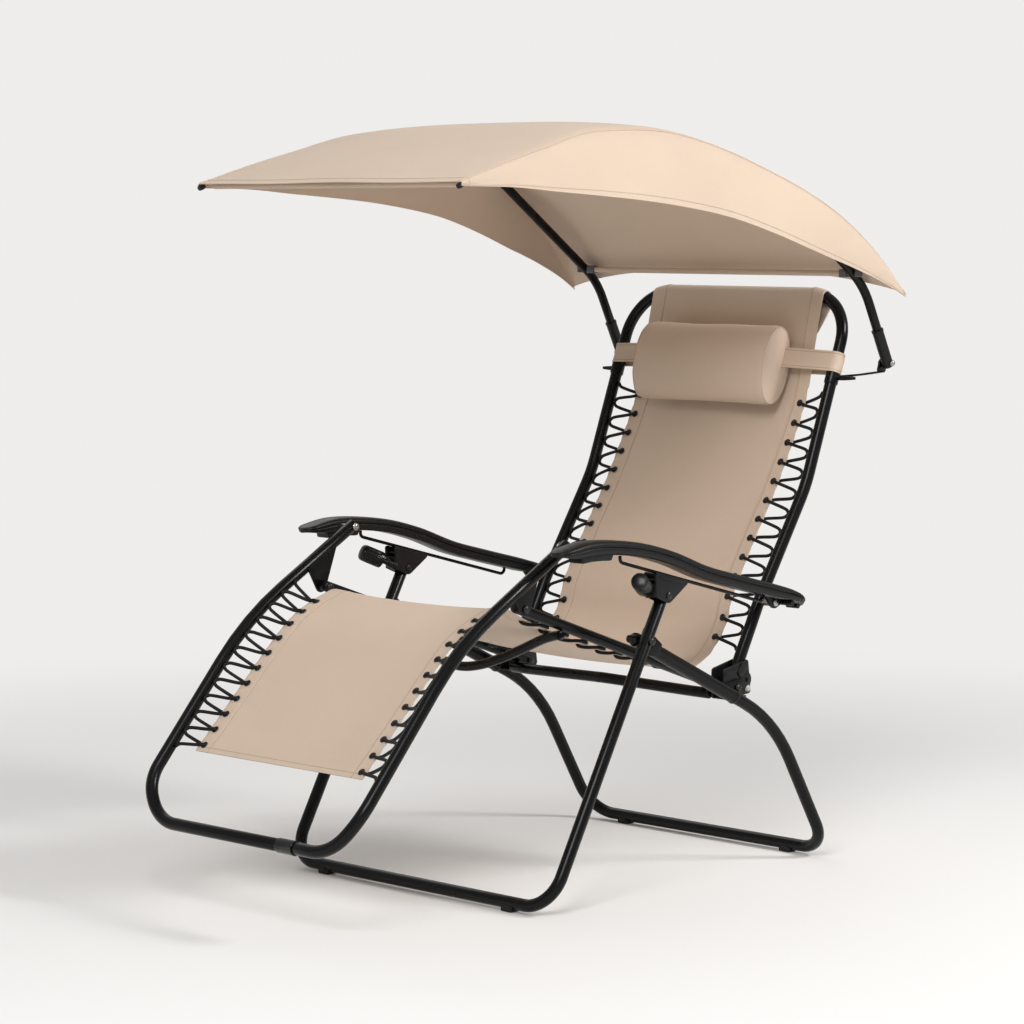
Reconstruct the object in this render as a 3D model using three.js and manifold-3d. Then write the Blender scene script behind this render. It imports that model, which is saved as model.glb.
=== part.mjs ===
import * as THREE from 'three';
import { mergeVertices } from 'three/addons/utils/BufferGeometryUtils.js';
import Module from 'manifold-3d';

// Reclining garden lounger with a laced sling, sliding arms and a tilting canopy.
// Millimetres, +X to the sitter's left, +Y to the back, +Z up.

const wasm = await Module();
wasm.setup();

// Fits
const clearance = 0.3;
const overrun = 4;
const lacePlay = 0.3;
const openPivotPlay = 5;
const weldTolerance = 1e-4;

// Facets
const tubeSides = 12;
const boltSides = 8;
const cordSides = 5;
const padSides = 16;
const cornerSides = 6;
const bendStep = Math.PI / 9;
const flatShare = Math.cos(Math.PI / tubeSides);

// Tube diameters and plate
const frameTube = 22;
const railTube = 20;
const sleeveTube = 25;
const frontBarTube = 17;
const canopyTube = 17;
const canopySleeveTube = 21;
const plateThickness = 3.6;
const gussetThickness = 4;
const weldSink = 1.4;

// Pivots in side view, from the floor and from a mark above the front floor bar
const hub = { y: 508.5, z: 339.1 };
const knee = { y: 0.6, z: 519.4 };
const armFront = { y: 85.1, z: 620.3 };
const armRear = { y: 586.8, z: 488.4 };
const lock = { y: 267.5, z: 528.5 };
const legPivot = { y: 228, z: 452 };
const canopyPivot = { y: 865, z: 912 };

// Lanes across the chair, measured from its middle
const railLane = 245;
const railSpace = 6;
const cheekSpace = 0.5;
const backLane = railLane + railTube / 2 + railSpace + frameTube / 2;
const outerCheekX = backLane + frameTube / 2 + cheekSpace;
const lugX = outerCheekX + plateThickness + cheekSpace;
const rearLegLane = lugX + plateThickness + clearance + frameTube / 2;
const saddleX = rearLegLane + sleeveTube / 2 + clearance;
const frontLegLane = saddleX + plateThickness + clearance + frameTube / 2;
const innerCheekX = railLane + railTube / 2 + (railSpace - plateThickness) / 2;

// Legs
const footHeight = 4;
const footLength = 26;
const footWidth = 22;
const footWrap = 6;
const footInset = 95;
const floorBarZ = footHeight + frameTube / 2;
const frontBarY = -10;
const rearBend = { y: 594, z: 272.7, radius: 300 };
const rearBarY = 745;
const legCorner = 60;
const sleeveLength = 288;
const sleeveNose = 12;
const plugDepth = 60;
const lugEyeRadius = 16;
const lugRootRadius = 6;
const lugRootBack = 34;
const lugRootAhead = 6;
const saddleHalfHeight = 20;
const saddleReach = 48;
const saddleHalfEnd = 9;
const saddleCorner = 4;

// Bolts
const boltRadius = 4;
const boltHead = 7;
const headThickness = 3.6;
const boltHole = 4.6;

// Seat
const railOverhang = 10;
const frontBow = { y: 99, drop: 77, endY: 97, midY: 102, midDrop: 33, midX: 150, lowX: 50, lowDrop: 69 };
const rearBow = { y: 462, z: 334, endY: 478, bendX: 205 };
const crossBarOverhang = 8;

// Hub plates
const cheekCorner = 6;
const cheekFront = 27;
const cheekBack = 34;
const cheekBelow = 14;
const cheekFrontRise = 30;
const cheekBackRise = 42;
const cheekTopBack = 28;

// Back frame
const backElbow = { y: 714, z: 690, radius: 250 };
const backTop = { y: 842, z: 1036, radius: 93 };
const backBendRadius = 300;
const backTail = 8;

// Foot frame
const footElbow = { y: -163.2, z: 472.5, radius: 560 };
const footTurn = { y: -386, z: 210, radius: 88 };
const footBar = { y: -409, z: 148, x: 222, radius: 92 };
const footSeamX = 140;
const footCollarLength = 42;
const footPlug = 30;
const gussetEye = 12;
const gussetCorner = 4;
const gussetFront = 26;
const gussetBack = 32;

// Sling
const slingHalf = 215;
const slingThickness = 1.6;
const eyeletInset = 13;
const eyeletRadius = 3.6;
const eyeletSides = 5;
const footSlingShares = [
  [-0.3290, 0.2610], [-0.2450, 0.3450], [-0.1600, 0.4300], [-0.1050, 0.4770], [-0.0400, 0.5080], [-0.0120, 0.5140],
];
const seatSlingShares = [
  [0.0120, 0.5140], [0.0600, 0.4870], [0.1840, 0.4410], [0.3110, 0.4040], [0.3800, 0.3860], [0.4400, 0.3740],
  [0.4780, 0.3720], [0.5000, 0.3770],
];
const backSlingShares = [
  [0.5300, 0.4000], [0.5630, 0.4430], [0.5830, 0.4970], [0.6400, 0.5920], [0.7030, 0.6900], [0.7780, 0.8340],
];
const wrapSteps = 9;
const wrapPlay = 0.9;
const flapDrop = 66;
const flapOverlap = 0.5;

// Lacing
const cordDiameter = 4.5;
const footLoops = 11;
const seatLoops = 9;
const backLoops = 13;
const footLaceStart = 14;
const footLaceEnd = 52;
const seatLaceStart = 42;
const seatLaceEnd = 72;
const backLaceStart = 26;
const backLaceEnd = 246;
const loopShares = { below: 0.12, out: 0.36, back: 0.64, above: 0.88 };

// Arms
const armStart = 8;
const armTail = 61.2;
const armLength = armRear.y + armTail - armStart;
const armRise = 145;
const armEndZ = 489;
const armWidth = 45;
const armHeight = 28;
const armSlab = 13;
const armInset = 8.3;
const ribSetback = 10;
const ribInset = 4.5;
const armTopShares = [
  [0, 0.903], [0.12, 1], [0.291, 0.945], [0.433, 0.8], [0.578, 0.572], [0.722, 0.407], [0.875, 0.241],
  [0.953, 0.131], [1, 0],
];
const armBlock = { front: 28, back: 53, depth: 7 };
const armEar = { eye: 11, root: 8, reach: 20, depth: 18, thickness: 7 };
const armCollarRadius = 8;
const pinReach = 22;
const rod = { radius: 3, frontY: 160, frontZ: 593, rearY: 532, rearZ: 495, bend: 5 };

// Lock bracket and knob
const bracket = {
  eye: 13, corner: 5, front: 28.5, back: 43.5, frontRise: 36.5, backRise: 19.5, lobe: 8, lobeRise: 4.5,
};
const webDrop = 14.5;
const webThickness = 3;
const boss = { radius: 7, length: 14, y: 29.5, z: 5.5, x: 8, thickness: 10, below: 1, above: 22 };
const knobLean = new THREE.Vector3(0.45, -0.8, 0.4).normalize();
const knob = { radius: 15.5, length: 46, stemRadius: 5, stemLength: 11, chamfer: 3 };

// Headrest
const pillow = { length: 330, height: 150, depth: 76, z: 896, rearPlay: 3 };
const pillowShares = [
  [0, -1], [0.64, -0.99], [0.9, -0.955], [0.955, -0.915], [0.985, -0.87], [1, -0.4], [1, 0.4], [0.985, 0.87],
  [0.955, 0.915], [0.9, 0.955], [0.64, 0.99], [0, 1],
];
const strap = { width: 38, thickness: 2, rearDepth: 14.5, corner: 8, z: 912, lead: 12, tuck: 1 };

// Canopy
const canopy = { length: 1031, rise: 291, frontY: -216, baseZ: 1041, halfWidth: 420, thickness: 2 };
const canopyArmMargin = 82;
const canopyArmLane = canopy.halfWidth - canopyArmMargin;
const alongShares = [0, 0.1125, 0.21, 0.3, 0.4, 0.5, 0.6, 0.7, 0.8, 0.88, 0.95, 1];
const ridgeRiseShares = [0.677, 0.797, 0.89, 0.973, 1, 0.993, 0.918, 0.787, 0.625, 0.443, 0.213, 0.007];
const hemRiseShares = [0.65, 0.646, 0.622, 0.601, 0.574, 0.533, 0.474, 0.378, 0.261, 0.168, 0.072, -0.017];
const ridgeOutShares = [0.793, 0.781, 0.764, 0.745, 0.729, 0.736, 0.774, 0.831, 0.89, 0.938, 0.979, 1];
const hemOutShares = [0.793, 0.802, 0.812, 0.824, 0.838, 0.855, 0.874, 0.898, 0.926, 0.952, 0.979, 1];
const crownShares = [0, 0.014, 0.027, 0.041, 0.048, 0.048, 0.045, 0.045, 0.048, 0.062, 0.093, 0.127];
const crownPower = 3;
const rearHemPull = 15;
const hemPullPower = 8;
const crossShares = [-1, -0.85, -0.6, -0.3, 0, 0.3, 0.6, 0.85, 1];
const canopyArmInset = 11;
const canopyBend = { y: 795, z: 1055, radius: 150 };
const canopyJoin = { y: 550, z: 1234 };
const canopySleeveLength = 69;
const canopySleeveTail = 8;
const canopyPlug = 26;
const battenDiameter = 8;
const frontBattenY = -197;
const rearBattenY = 764;
const canopyBracket = { drop: 28, corner: 8, eye: 9, heel: 6, heelBack: 8 };
const canopyBolt = { radius: 3, head: 5.5, hole: 3.5 };

const slingSpan = 1000;

// Colour, roughness and metalness of each finish
const finishes = {
  paint: [0x1b1b1c, 0.42, 0.35],
  plastic: [0x2a2a2b, 0.55, 0],
  rubber: [0x141414, 0.8, 0],
  cord: [0x0d0d0d, 0.75, 0],
  fabric: [0xc8af96, 0.9, 0],
  steel: [0x8f8f8d, 0.35, 0.9],
  blackSteel: [0x3a3a39, 0.4, 0.9],
};

const chair = new THREE.Group();

function add(name, geometry, finishName) {
  const [color, roughness, metalness] = finishes[finishName];
  const mesh = new THREE.Mesh(welded(geometry), new THREE.MeshStandardMaterial({ color, roughness, metalness }));
  mesh.name = name;
  chair.add(mesh);
  return mesh;
}

function addPair(name, geometry, finishName) {
  add(`${name}_left`, geometry, finishName);
  add(`${name}_right`, mirrored(geometry), finishName);
}

// Geometry helpers

function welded(geometry) {
  const bare = new THREE.BufferGeometry();
  bare.setAttribute('position', geometry.attributes.position.clone());
  bare.setIndex(geometry.index ? geometry.index.clone() : null);
  const merged = mergeVertices(bare, weldTolerance);
  const kept = [];
  const index = merged.index.array;
  for (let i = 0; i < index.length; i += 3) {
    const [a, b, c] = [index[i], index[i + 1], index[i + 2]];
    if (a !== b && b !== c && c !== a) kept.push(a, b, c);
  }
  merged.setIndex(kept);
  merged.computeVertexNormals();
  return merged;
}

function toSolid(geometry) {
  const mesh = welded(geometry);
  const vertProperties = Float32Array.from(mesh.attributes.position.array);
  const triVerts = Uint32Array.from(mesh.index.array);
  return new wasm.Manifold(new wasm.Mesh({ numProp: 3, vertProperties, triVerts }));
}

function toGeometry(solid) {
  const mesh = solid.getMesh();
  const geometry = new THREE.BufferGeometry();
  geometry.setAttribute('position', new THREE.BufferAttribute(mesh.vertProperties, 3));
  geometry.setIndex(new THREE.BufferAttribute(mesh.triVerts, 1));
  return geometry;
}

function join(...geometries) {
  return toGeometry(geometries.map(toSolid).reduce((sum, next) => sum.add(next)));
}

function cut(body, ...tools) {
  return toGeometry(tools.map(toSolid).reduce((rest, next) => rest.subtract(next), toSolid(body)));
}

function mirrored(geometry) {
  const copy = welded(geometry);
  copy.scale(-1, 1, 1);
  const index = copy.index.array;
  for (let i = 0; i < index.length; i += 3) [index[i], index[i + 1]] = [index[i + 1], index[i]];
  return copy;
}

// A run of hand-picked stations, each a point with its own tangent
class StationCurve extends THREE.Curve {
  constructor(stations) {
    super();
    this.stations = stations;
  }
  station(u) {
    return this.stations[Math.round(u * (this.stations.length - 1))];
  }
  getPoint(u) {
    return this.station(u).point.clone();
  }
  getPointAt(u) {
    return this.getPoint(u);
  }
  getTangentAt(u) {
    return this.station(u).tangent.clone();
  }
  getSpacedPoints(divisions) {
    return Array.from({ length: divisions + 1 }, (_, i) => this.getPoint(i / divisions));
  }
}

// Stations along straight runs joined by arcs: corners are { point, radius }
function bentRun(corners) {
  const stations = [];
  corners.forEach(({ point, radius = 0 }, i) => {
    const before = corners[i - 1]?.point;
    const after = corners[i + 1]?.point;
    const incoming = before && point.clone().sub(before).normalize();
    const outgoing = after && after.clone().sub(point).normalize();
    if (!incoming || !outgoing) {
      stations.push({ point, tangent: incoming ?? outgoing });
      return;
    }
    const angle = incoming.angleTo(outgoing);
    if (radius === 0) {
      stations.push({ point, tangent: incoming.clone().add(outgoing).normalize() });
      return;
    }
    const setback = radius * Math.tan(angle / 2);
    const start = point.clone().addScaledVector(incoming, -setback);
    const inward = outgoing.clone().addScaledVector(incoming, -outgoing.dot(incoming)).normalize();
    const steps = Math.max(1, Math.ceil(angle / bendStep));
    for (let step = 0; step <= steps; step += 1) {
      const turn = (angle * step) / steps;
      const place = start.clone().addScaledVector(incoming, radius * Math.sin(turn));
      place.addScaledVector(inward, radius * (1 - Math.cos(turn)));
      const tangent = incoming.clone().multiplyScalar(Math.cos(turn)).addScaledVector(inward, Math.sin(turn));
      stations.push({ point: place, tangent });
    }
  });
  return stations;
}

function ring(radius, sides) {
  const shape = new THREE.Shape();
  for (let i = 0; i < sides; i += 1) {
    const angle = (2 * Math.PI * (i + 0.5)) / sides;
    const spot = [radius * Math.cos(angle), radius * Math.sin(angle)];
    if (i === 0) shape.moveTo(...spot);
    else shape.lineTo(...spot);
  }
  shape.closePath();
  return shape;
}

function tubeAlong(stations, diameter, sides = tubeSides) {
  return new THREE.ExtrudeGeometry(ring(diameter / 2, sides), {
    steps: stations.length - 1, extrudePath: new StationCurve(stations), curveSegments: 1,
  });
}

function straightBar(from, to, diameter, sides = tubeSides) {
  return tubeAlong(bentRun([{ point: from }, { point: to }]), diameter, sides);
}

function at(x, place) {
  return new THREE.Vector3(x, place.y, place.z);
}

function crossBar(place, x0, x1, radius, sides = boltSides) {
  return straightBar(at(x0, place), at(x1, place), 2 * radius, sides);
}

function turned(profile, sides) {
  return new THREE.LatheGeometry(profile.map(([radius, along]) => new THREE.Vector2(radius, along)), sides);
}

// A bolt along X with a head at x0 and a nut at x1
function boltAcross(place, x0, x1, radius = boltRadius, head = boltHead) {
  const length = x1 - x0;
  const profile = [
    [0, 0], [head, 0], [head, headThickness], [radius, headThickness],
    [radius, length - headThickness], [head, length - headThickness], [head, length], [0, length],
  ];
  return turned(profile, boltSides).rotateZ(-Math.PI / 2).translate(x0, place.y, place.z);
}

// A side-view outline, given as [y, z] points, as thick as x0 to x1
function sidePlate(outline, x0, x1) {
  const shape = new THREE.Shape(outline.map(([y, z]) => new THREE.Vector2(y, z)));
  const slab = new THREE.ExtrudeGeometry(shape, { depth: x1 - x0, bevelEnabled: false });
  const turnToSide = new THREE.Matrix4().set(0, 0, 1, x0, 1, 0, 0, 0, 0, 1, 0, 0, 0, 0, 0, 1);
  return slab.applyMatrix4(turnToSide);
}

// The convex outline round circles given as [u, v, radius]
function roundedHull(circles) {
  const spots = [];
  for (const [u, v, radius] of circles) {
    for (let i = 0; i < 2 * cornerSides; i += 1) {
      const angle = (Math.PI * i) / cornerSides;
      spots.push([u + radius * Math.cos(angle), v + radius * Math.sin(angle)]);
    }
  }
  spots.sort((a, b) => a[0] - b[0] || a[1] - b[1]);
  const turn = (o, a, b) => (a[0] - o[0]) * (b[1] - o[1]) - (a[1] - o[1]) * (b[0] - o[0]);
  const chain = (list) => {
    const line = [];
    for (const spot of list) {
      while (line.length > 1 && turn(line.at(-2), line.at(-1), spot) <= 0) line.pop();
      line.push(spot);
    }
    return line.slice(0, -1);
  };
  return [...chain(spots), ...chain([...spots].reverse())];
}

function hullPlate(circles, x0, x1) {
  return sidePlate(roundedHull(circles), x0, x1);
}

function box(x0, x1, y0, y1, z0, z1) {
  const block = new THREE.BoxGeometry(x1 - x0, y1 - y0, z1 - z0);
  return block.translate((x0 + x1) / 2, (y0 + y1) / 2, (z0 + z1) / 2);
}

// The outline of a thin sheet that follows a line of [y, z] points
function sheetOutline(line, thickness) {
  const normals = line.map((_, i) => {
    const a = line[Math.max(0, i - 1)];
    const b = line[Math.min(line.length - 1, i + 1)];
    const length = Math.hypot(b[0] - a[0], b[1] - a[1]);
    return [-(b[1] - a[1]) / length, (b[0] - a[0]) / length];
  });
  const shifted = (side) => line.map(([y, z], i) => [
    y + (side * thickness * normals[i][0]) / 2, z + (side * thickness * normals[i][1]) / 2,
  ]);
  return [...shifted(-1), ...shifted(1).reverse()];
}

const fromShares = (shares) => shares.map(([y, z]) => [y * slingSpan, z * slingSpan]);

// Legs

const armLane = frontLegLane - armInset;
const sleeveAxis = new THREE.Vector3(0, rearBend.y - legPivot.y, rearBend.z - legPivot.z).normalize();
const sleeveUp = new THREE.Vector3(0, -sleeveAxis.z, sleeveAxis.y);
const legAxis = new THREE.Vector3(0, lock.y - frontBarY, lock.z - floorBarZ).normalize();

function alongSleeve(x, distance, up = 0) {
  return at(x, legPivot).addScaledVector(sleeveAxis, distance).addScaledVector(sleeveUp, up);
}

function rearLegFrame() {
  const start = sleeveLength - plugDepth;
  const corners = (side) => [
    { point: alongSleeve(side * rearLegLane, start) },
    { point: at(side * rearLegLane, rearBend), radius: rearBend.radius },
    { point: at(side * rearLegLane, { y: rearBarY, z: floorBarZ }), radius: legCorner },
  ];
  return tubeAlong(bentRun([...corners(-1), ...corners(1).reverse()]), frameTube);
}

function rearLegSleeve() {
  const outer = straightBar(
    alongSleeve(rearLegLane, -sleeveNose), alongSleeve(rearLegLane, sleeveLength), sleeveTube);
  const root = alongSleeve(rearLegLane, sleeveLength - lugRootBack);
  const ahead = alongSleeve(rearLegLane, sleeveLength + lugRootAhead);
  const lug = hullPlate([
    [hub.y, hub.z, lugEyeRadius], [root.y, root.z, lugRootRadius], [ahead.y, ahead.z, lugRootRadius],
  ], lugX, lugX + plateThickness);
  const boreDiameter = (frameTube + 2 * clearance) / flatShare;
  const bore = straightBar(
    alongSleeve(rearLegLane, sleeveLength - plugDepth - clearance),
    alongSleeve(rearLegLane, sleeveLength + frameTube), boreDiameter);
  return cut(
    join(outer, lug), bore,
    crossBar(hub, lugX - overrun, lugX + plateThickness + overrun, boltHole),
    crossBar(legPivot, rearLegLane - sleeveTube, rearLegLane + sleeveTube, boltHole));
}

function legPivotBolt() {
  const inner = rearLegLane - sleeveTube / 2 - clearance;
  return boltAcross(legPivot, inner - headThickness, frontLegLane + frameTube / 2 + clearance + headThickness);
}

function frontLegFrame() {
  const top = (side) => at(side * frontLegLane, lock).addScaledVector(legAxis, backTail);
  const foot = (side) => at(side * frontLegLane, { y: frontBarY, z: floorBarZ });
  const tube = tubeAlong(bentRun([
    { point: top(-1) }, { point: foot(-1), radius: legCorner },
    { point: foot(1), radius: legCorner }, { point: top(1) },
  ]), frameTube);
  const holes = [-1, 1].flatMap((side) => [lock, legPivot].map((place) => {
    const middle = side * frontLegLane;
    return crossBar(place, middle - frameTube, middle + frameTube, boltHole);
  }));
  return cut(tube, ...holes);
}

function pivotSaddle() {
  const onLeg = (distance) => at(0, legPivot).addScaledVector(legAxis, distance);
  const corners = [
    onLeg(saddleHalfHeight), onLeg(-saddleHalfHeight),
    alongSleeve(0, saddleReach, saddleHalfEnd), alongSleeve(0, saddleReach, -saddleHalfEnd),
  ];
  const plate = hullPlate(corners.map(({ y, z }) => [y, z, saddleCorner]), saddleX, saddleX + plateThickness);
  return cut(plate, crossBar(legPivot, saddleX - overrun, saddleX + plateThickness + overrun, boltHole));
}

function rubberFoot(barY, lane) {
  const x = lane - footInset;
  const block = box(
    x - footLength / 2, x + footLength / 2, barY - footWidth / 2, barY + footWidth / 2, 0, footHeight + footWrap);
  const bar = crossBar(
    { y: barY, z: floorBarZ }, x - footLength, x + footLength, frameTube / 2 + clearance, tubeSides);
  return cut(block, bar);
}

// Seat

const railAxis = new THREE.Vector3(0, hub.y - knee.y, hub.z - knee.z).normalize();
const railUp = new THREE.Vector3(0, -railAxis.z, railAxis.y);

function seatRail() {
  const front = at(railLane, knee).addScaledVector(railAxis, -railOverhang);
  const back = at(railLane, hub).addScaledVector(railAxis, railOverhang);
  const holes = [knee, hub].map((place) => crossBar(place, railLane - railTube, railLane + railTube, boltHole));
  return cut(straightBar(front, back, railTube), ...holes);
}

function railHeight(y) {
  return knee.z + ((y - knee.y) * railAxis.z) / railAxis.y;
}

function underRail(y, diameter) {
  return railHeight(y) - (flatShare * (railTube + diameter) / 2 + clearance) / railAxis.y;
}

function frontCrossBar() {
  const end = underRail(frontBow.endY, frontBarTube);
  const half = (side) => [
    { point: new THREE.Vector3(side * (railLane + crossBarOverhang), frontBow.endY, end) },
    { point: new THREE.Vector3(side * railLane, frontBow.endY, end) },
    { point: new THREE.Vector3(side * frontBow.midX, frontBow.midY, end - frontBow.midDrop) },
    { point: new THREE.Vector3(side * frontBow.lowX, frontBow.midY, end - frontBow.lowDrop) },
  ];
  const middle = { point: new THREE.Vector3(0, frontBow.y, end - frontBow.drop) };
  return tubeAlong(bentRun([...half(-1), middle, ...half(1).reverse()]), frontBarTube);
}

function rearCrossBar() {
  const end = underRail(rearBow.endY, railTube);
  const half = (side) => [
    { point: new THREE.Vector3(side * (railLane + crossBarOverhang), rearBow.endY, end) },
    { point: new THREE.Vector3(side * rearBow.bendX, rearBow.endY, end) },
  ];
  const middle = { point: new THREE.Vector3(0, rearBow.y, rearBow.z) };
  return tubeAlong(bentRun([...half(-1), middle, ...half(1).reverse()]), railTube);
}

function hubPlates() {
  const circles = [
    [hub.y - cheekFront, hub.z - cheekBelow, cheekCorner],
    [hub.y - cheekFront, hub.z + cheekFrontRise, cheekCorner],
    [hub.y + cheekTopBack, hub.z + cheekBackRise, cheekCorner],
    [hub.y + cheekBack, hub.z - cheekBelow + cheekCorner, cheekCorner],
  ];
  const inner = hullPlate(circles, innerCheekX, innerCheekX + plateThickness);
  const outer = hullPlate(circles, outerCheekX, outerCheekX + plateThickness);
  const floorZ = hub.z - cheekBelow - cheekCorner;
  const web = box(
    innerCheekX, outerCheekX + plateThickness, hub.y - cheekFront, hub.y + cheekBack - cheekCorner,
    floorZ, floorZ + plateThickness);
  return cut(join(inner, outer, web), crossBar(hub, innerCheekX - overrun, lugX, boltHole));
}

function hubBolt() {
  const inner = railLane - railTube / 2 - clearance;
  return boltAcross(hub, inner - headThickness, lugX + plateThickness + clearance + headThickness);
}

// Foot frame

const footTubeAxis = new THREE.Vector3(0, armFront.y - footElbow.y, armFront.z - footElbow.z).normalize();

function footFrameRun(endX) {
  return bentRun([
    { point: at(backLane, armFront).addScaledVector(footTubeAxis, backTail) },
    { point: at(backLane, footElbow), radius: footElbow.radius },
    { point: at(backLane, footTurn), radius: footTurn.radius },
    { point: at(footBar.x, footBar), radius: footBar.radius },
    { point: at(endX, footBar) },
  ]);
}

function footGusset() {
  const gussetX = backLane - frameTube / 2 + weldSink - gussetThickness;
  const onTube = (y) => [
    y, armFront.z + ((y - armFront.y) * footTubeAxis.z) / footTubeAxis.y - gussetCorner, gussetCorner,
  ];
  const plate = hullPlate([
    [knee.y, knee.z, gussetEye], onTube(knee.y - gussetFront), onTube(knee.y + gussetBack),
  ], gussetX, gussetX + gussetThickness);
  return cut(plate, crossBar(knee, gussetX - overrun, gussetX + gussetThickness + overrun, boltHole));
}

function footHalf(endX) {
  const hole = crossBar(armFront, backLane - frameTube, backLane + frameTube, boltHole);
  return cut(join(tubeAlong(footFrameRun(endX), frameTube), footGusset()), hole);
}

function footFrameRight() {
  const collarEnd = footSeamX - footCollarLength;
  const collar = crossBar(footBar, collarEnd, footSeamX, sleeveTube / 2, tubeSides);
  const boreRadius = (frameTube / 2 + clearance) / flatShare;
  const bore = crossBar(footBar, footSeamX - footPlug, footSeamX + overrun, boreRadius, tubeSides);
  const half = mirrored(footHalf(-collarEnd - weldSink));
  return cut(join(half, collar), bore);
}

function kneeBolt() {
  const inner = railLane - railTube / 2 - clearance;
  const outer = backLane - frameTube / 2 + weldSink + clearance;
  return boltAcross(knee, inner - headThickness, outer + headThickness);
}

// Back frame

const backAxis = new THREE.Vector3(0, backTop.y - backElbow.y, backTop.z - backElbow.z).normalize();
const backFront = new THREE.Vector3(0, -backAxis.z, backAxis.y);
const tailAxis = new THREE.Vector3(0, armRear.y - hub.y, armRear.z - hub.z).normalize();

function backSide(side) {
  return [
    { point: at(side * backLane, hub).addScaledVector(tailAxis, -backTail) },
    { point: at(side * backLane, armRear), radius: backBendRadius },
    { point: at(side * backLane, backElbow), radius: backElbow.radius },
    { point: at(side * backLane, backTop), radius: backTop.radius },
  ];
}

function backFrame() {
  const tube = tubeAlong(bentRun([...backSide(-1), ...backSide(1).reverse()]), frameTube);
  const holes = [-1, 1].flatMap((side) => [
    crossBar(hub, side * backLane - frameTube, side * backLane + frameTube, boltHole),
    crossBar(armRear, side * (backLane - clearance), side * (backLane + frameTube), boltHole),
  ]);
  return cut(tube, ...holes);
}

// Sling panels

const wrapRadius = frameTube / 2 + wrapPlay + slingThickness / 2;

function slingPanel(line) {
  return sidePlate(sheetOutline(line, slingThickness), -slingHalf, slingHalf);
}

// Where a line of [y, z] points stands at a distance along it, with its direction
function placeAlong(line, distance) {
  let left = distance;
  for (let i = 1; i < line.length; i += 1) {
    const dy = line[i][0] - line[i - 1][0];
    const dz = line[i][1] - line[i - 1][1];
    const length = Math.hypot(dy, dz);
    if (left <= length || i === line.length - 1) {
      const share = left / length;
      return { y: line[i - 1][0] + dy * share, z: line[i - 1][1] + dz * share, dy: dy / length, dz: dz / length };
    }
    left -= length;
  }
  return null;
}

function lineLength(line) {
  return line.slice(1).reduce((sum, [y, z], i) => sum + Math.hypot(y - line[i][0], z - line[i][1]), 0);
}

function eyeletSpots(line, lace) {
  const first = lace.start;
  const pitch = (lineLength(line) - lace.start - lace.end) / (lace.loops - 1);
  return Array.from({ length: lace.loops }, (_, i) => first + i * pitch);
}

function lacedPanel(panel, line, lace) {
  const holes = eyeletSpots(line, lace).flatMap((distance) => {
    const { y, z, dy, dz } = placeAlong(line, distance);
    const up = new THREE.Vector3(0, -dz, dy).multiplyScalar(overrun);
    return [-1, 1].map((side) => {
      const middle = new THREE.Vector3(side * (slingHalf - eyeletInset), y, z);
      return straightBar(middle.clone().sub(up), middle.clone().add(up), 2 * eyeletRadius, eyeletSides);
    });
  });
  return cut(panel, ...holes);
}

const footLine = fromShares(footSlingShares);
const seatLine = fromShares(seatSlingShares);
const backLine = backSlingLine();
const footLace = { start: footLaceStart, end: footLaceEnd, loops: footLoops };
const seatLace = { start: seatLaceStart, end: seatLaceEnd, loops: seatLoops };
const backLace = { start: backLaceStart, end: backLaceEnd, loops: backLoops };

// The angle round the top bar at which the back panel reaches it
function wrapStart() {
  const [y, z] = fromShares(backSlingShares).at(-1);
  const reach = Math.hypot(y - backTop.y, z - backTop.z);
  return Math.atan2(z - backTop.z, y - backTop.y) + 2 * Math.PI - Math.acos(wrapRadius / reach);
}

// The back panel climbs to the top bar and wraps over it
function backSlingLine() {
  const line = fromShares(backSlingShares);
  for (let i = 0; i <= wrapSteps; i += 1) {
    const angle = wrapStart() * (1 - i / wrapSteps);
    line.push([backTop.y + wrapRadius * Math.cos(angle), backTop.z + wrapRadius * Math.sin(angle)]);
  }
  return line;
}

// The upper run of the back panel, from its last laced point to the top bar
function upperRun() {
  const [footY, footZ] = fromShares(backSlingShares).at(-1);
  const [topY, topZ] = backLine.at(-wrapSteps - 1);
  const along = new THREE.Vector3(0, topY - footY, topZ - footZ).normalize();
  const spotAt = (z) => new THREE.Vector3(0, topY + ((z - topZ) * along.y) / along.z, z);
  return { along, front: new THREE.Vector3(0, -along.z, along.y), spotAt, topZ };
}

function backSling() {
  const { spotAt, topZ } = upperRun();
  const meet = spotAt(topZ - flapDrop);
  const rearY = backTop.y + wrapRadius;
  const flap = [[rearY, backTop.z + flapOverlap], [rearY, backTop.z - frameTube / 2], [meet.y, meet.z]];
  return lacedPanel(join(slingPanel(backLine), slingPanel(flap)), backLine, backLace);
}

// Lacing: over the sling, down through an eyelet, back under it and round the tube's side

function nearestOn(stations, y, z) {
  let best = null;
  for (let i = 1; i < stations.length; i += 1) {
    const a = stations[i - 1].point;
    const b = stations[i].point;
    const run = (b.y - a.y) ** 2 + (b.z - a.z) ** 2;
    const raw = run > 0 ? ((y - a.y) * (b.y - a.y) + (z - a.z) * (b.z - a.z)) / run : 0;
    const share = Math.min(1, Math.max(0, raw));
    const spot = { y: a.y + share * (b.y - a.y), z: a.z + share * (b.z - a.z) };
    const distance = Math.hypot(spot.y - y, spot.z - z);
    if (!best || distance < best.distance) best = { ...spot, distance };
  }
  return best;
}

function leastSelfGap(points) {
  let least = Infinity;
  const finer = points.slice(1).flatMap((point, i) => [points[i], points[i].clone().lerp(point, 0.5)]);
  for (let i = 0; i < finer.length; i += 1) {
    let travelled = 0;
    for (let j = i + 1; j < finer.length; j += 1) {
      travelled += finer[j].distanceTo(finer[j - 1]);
      if (travelled < 2.5 * cordDiameter) continue;
      least = Math.min(least, finer[i].distanceTo(finer[j]) - cordDiameter);
    }
  }
  return least;
}

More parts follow.
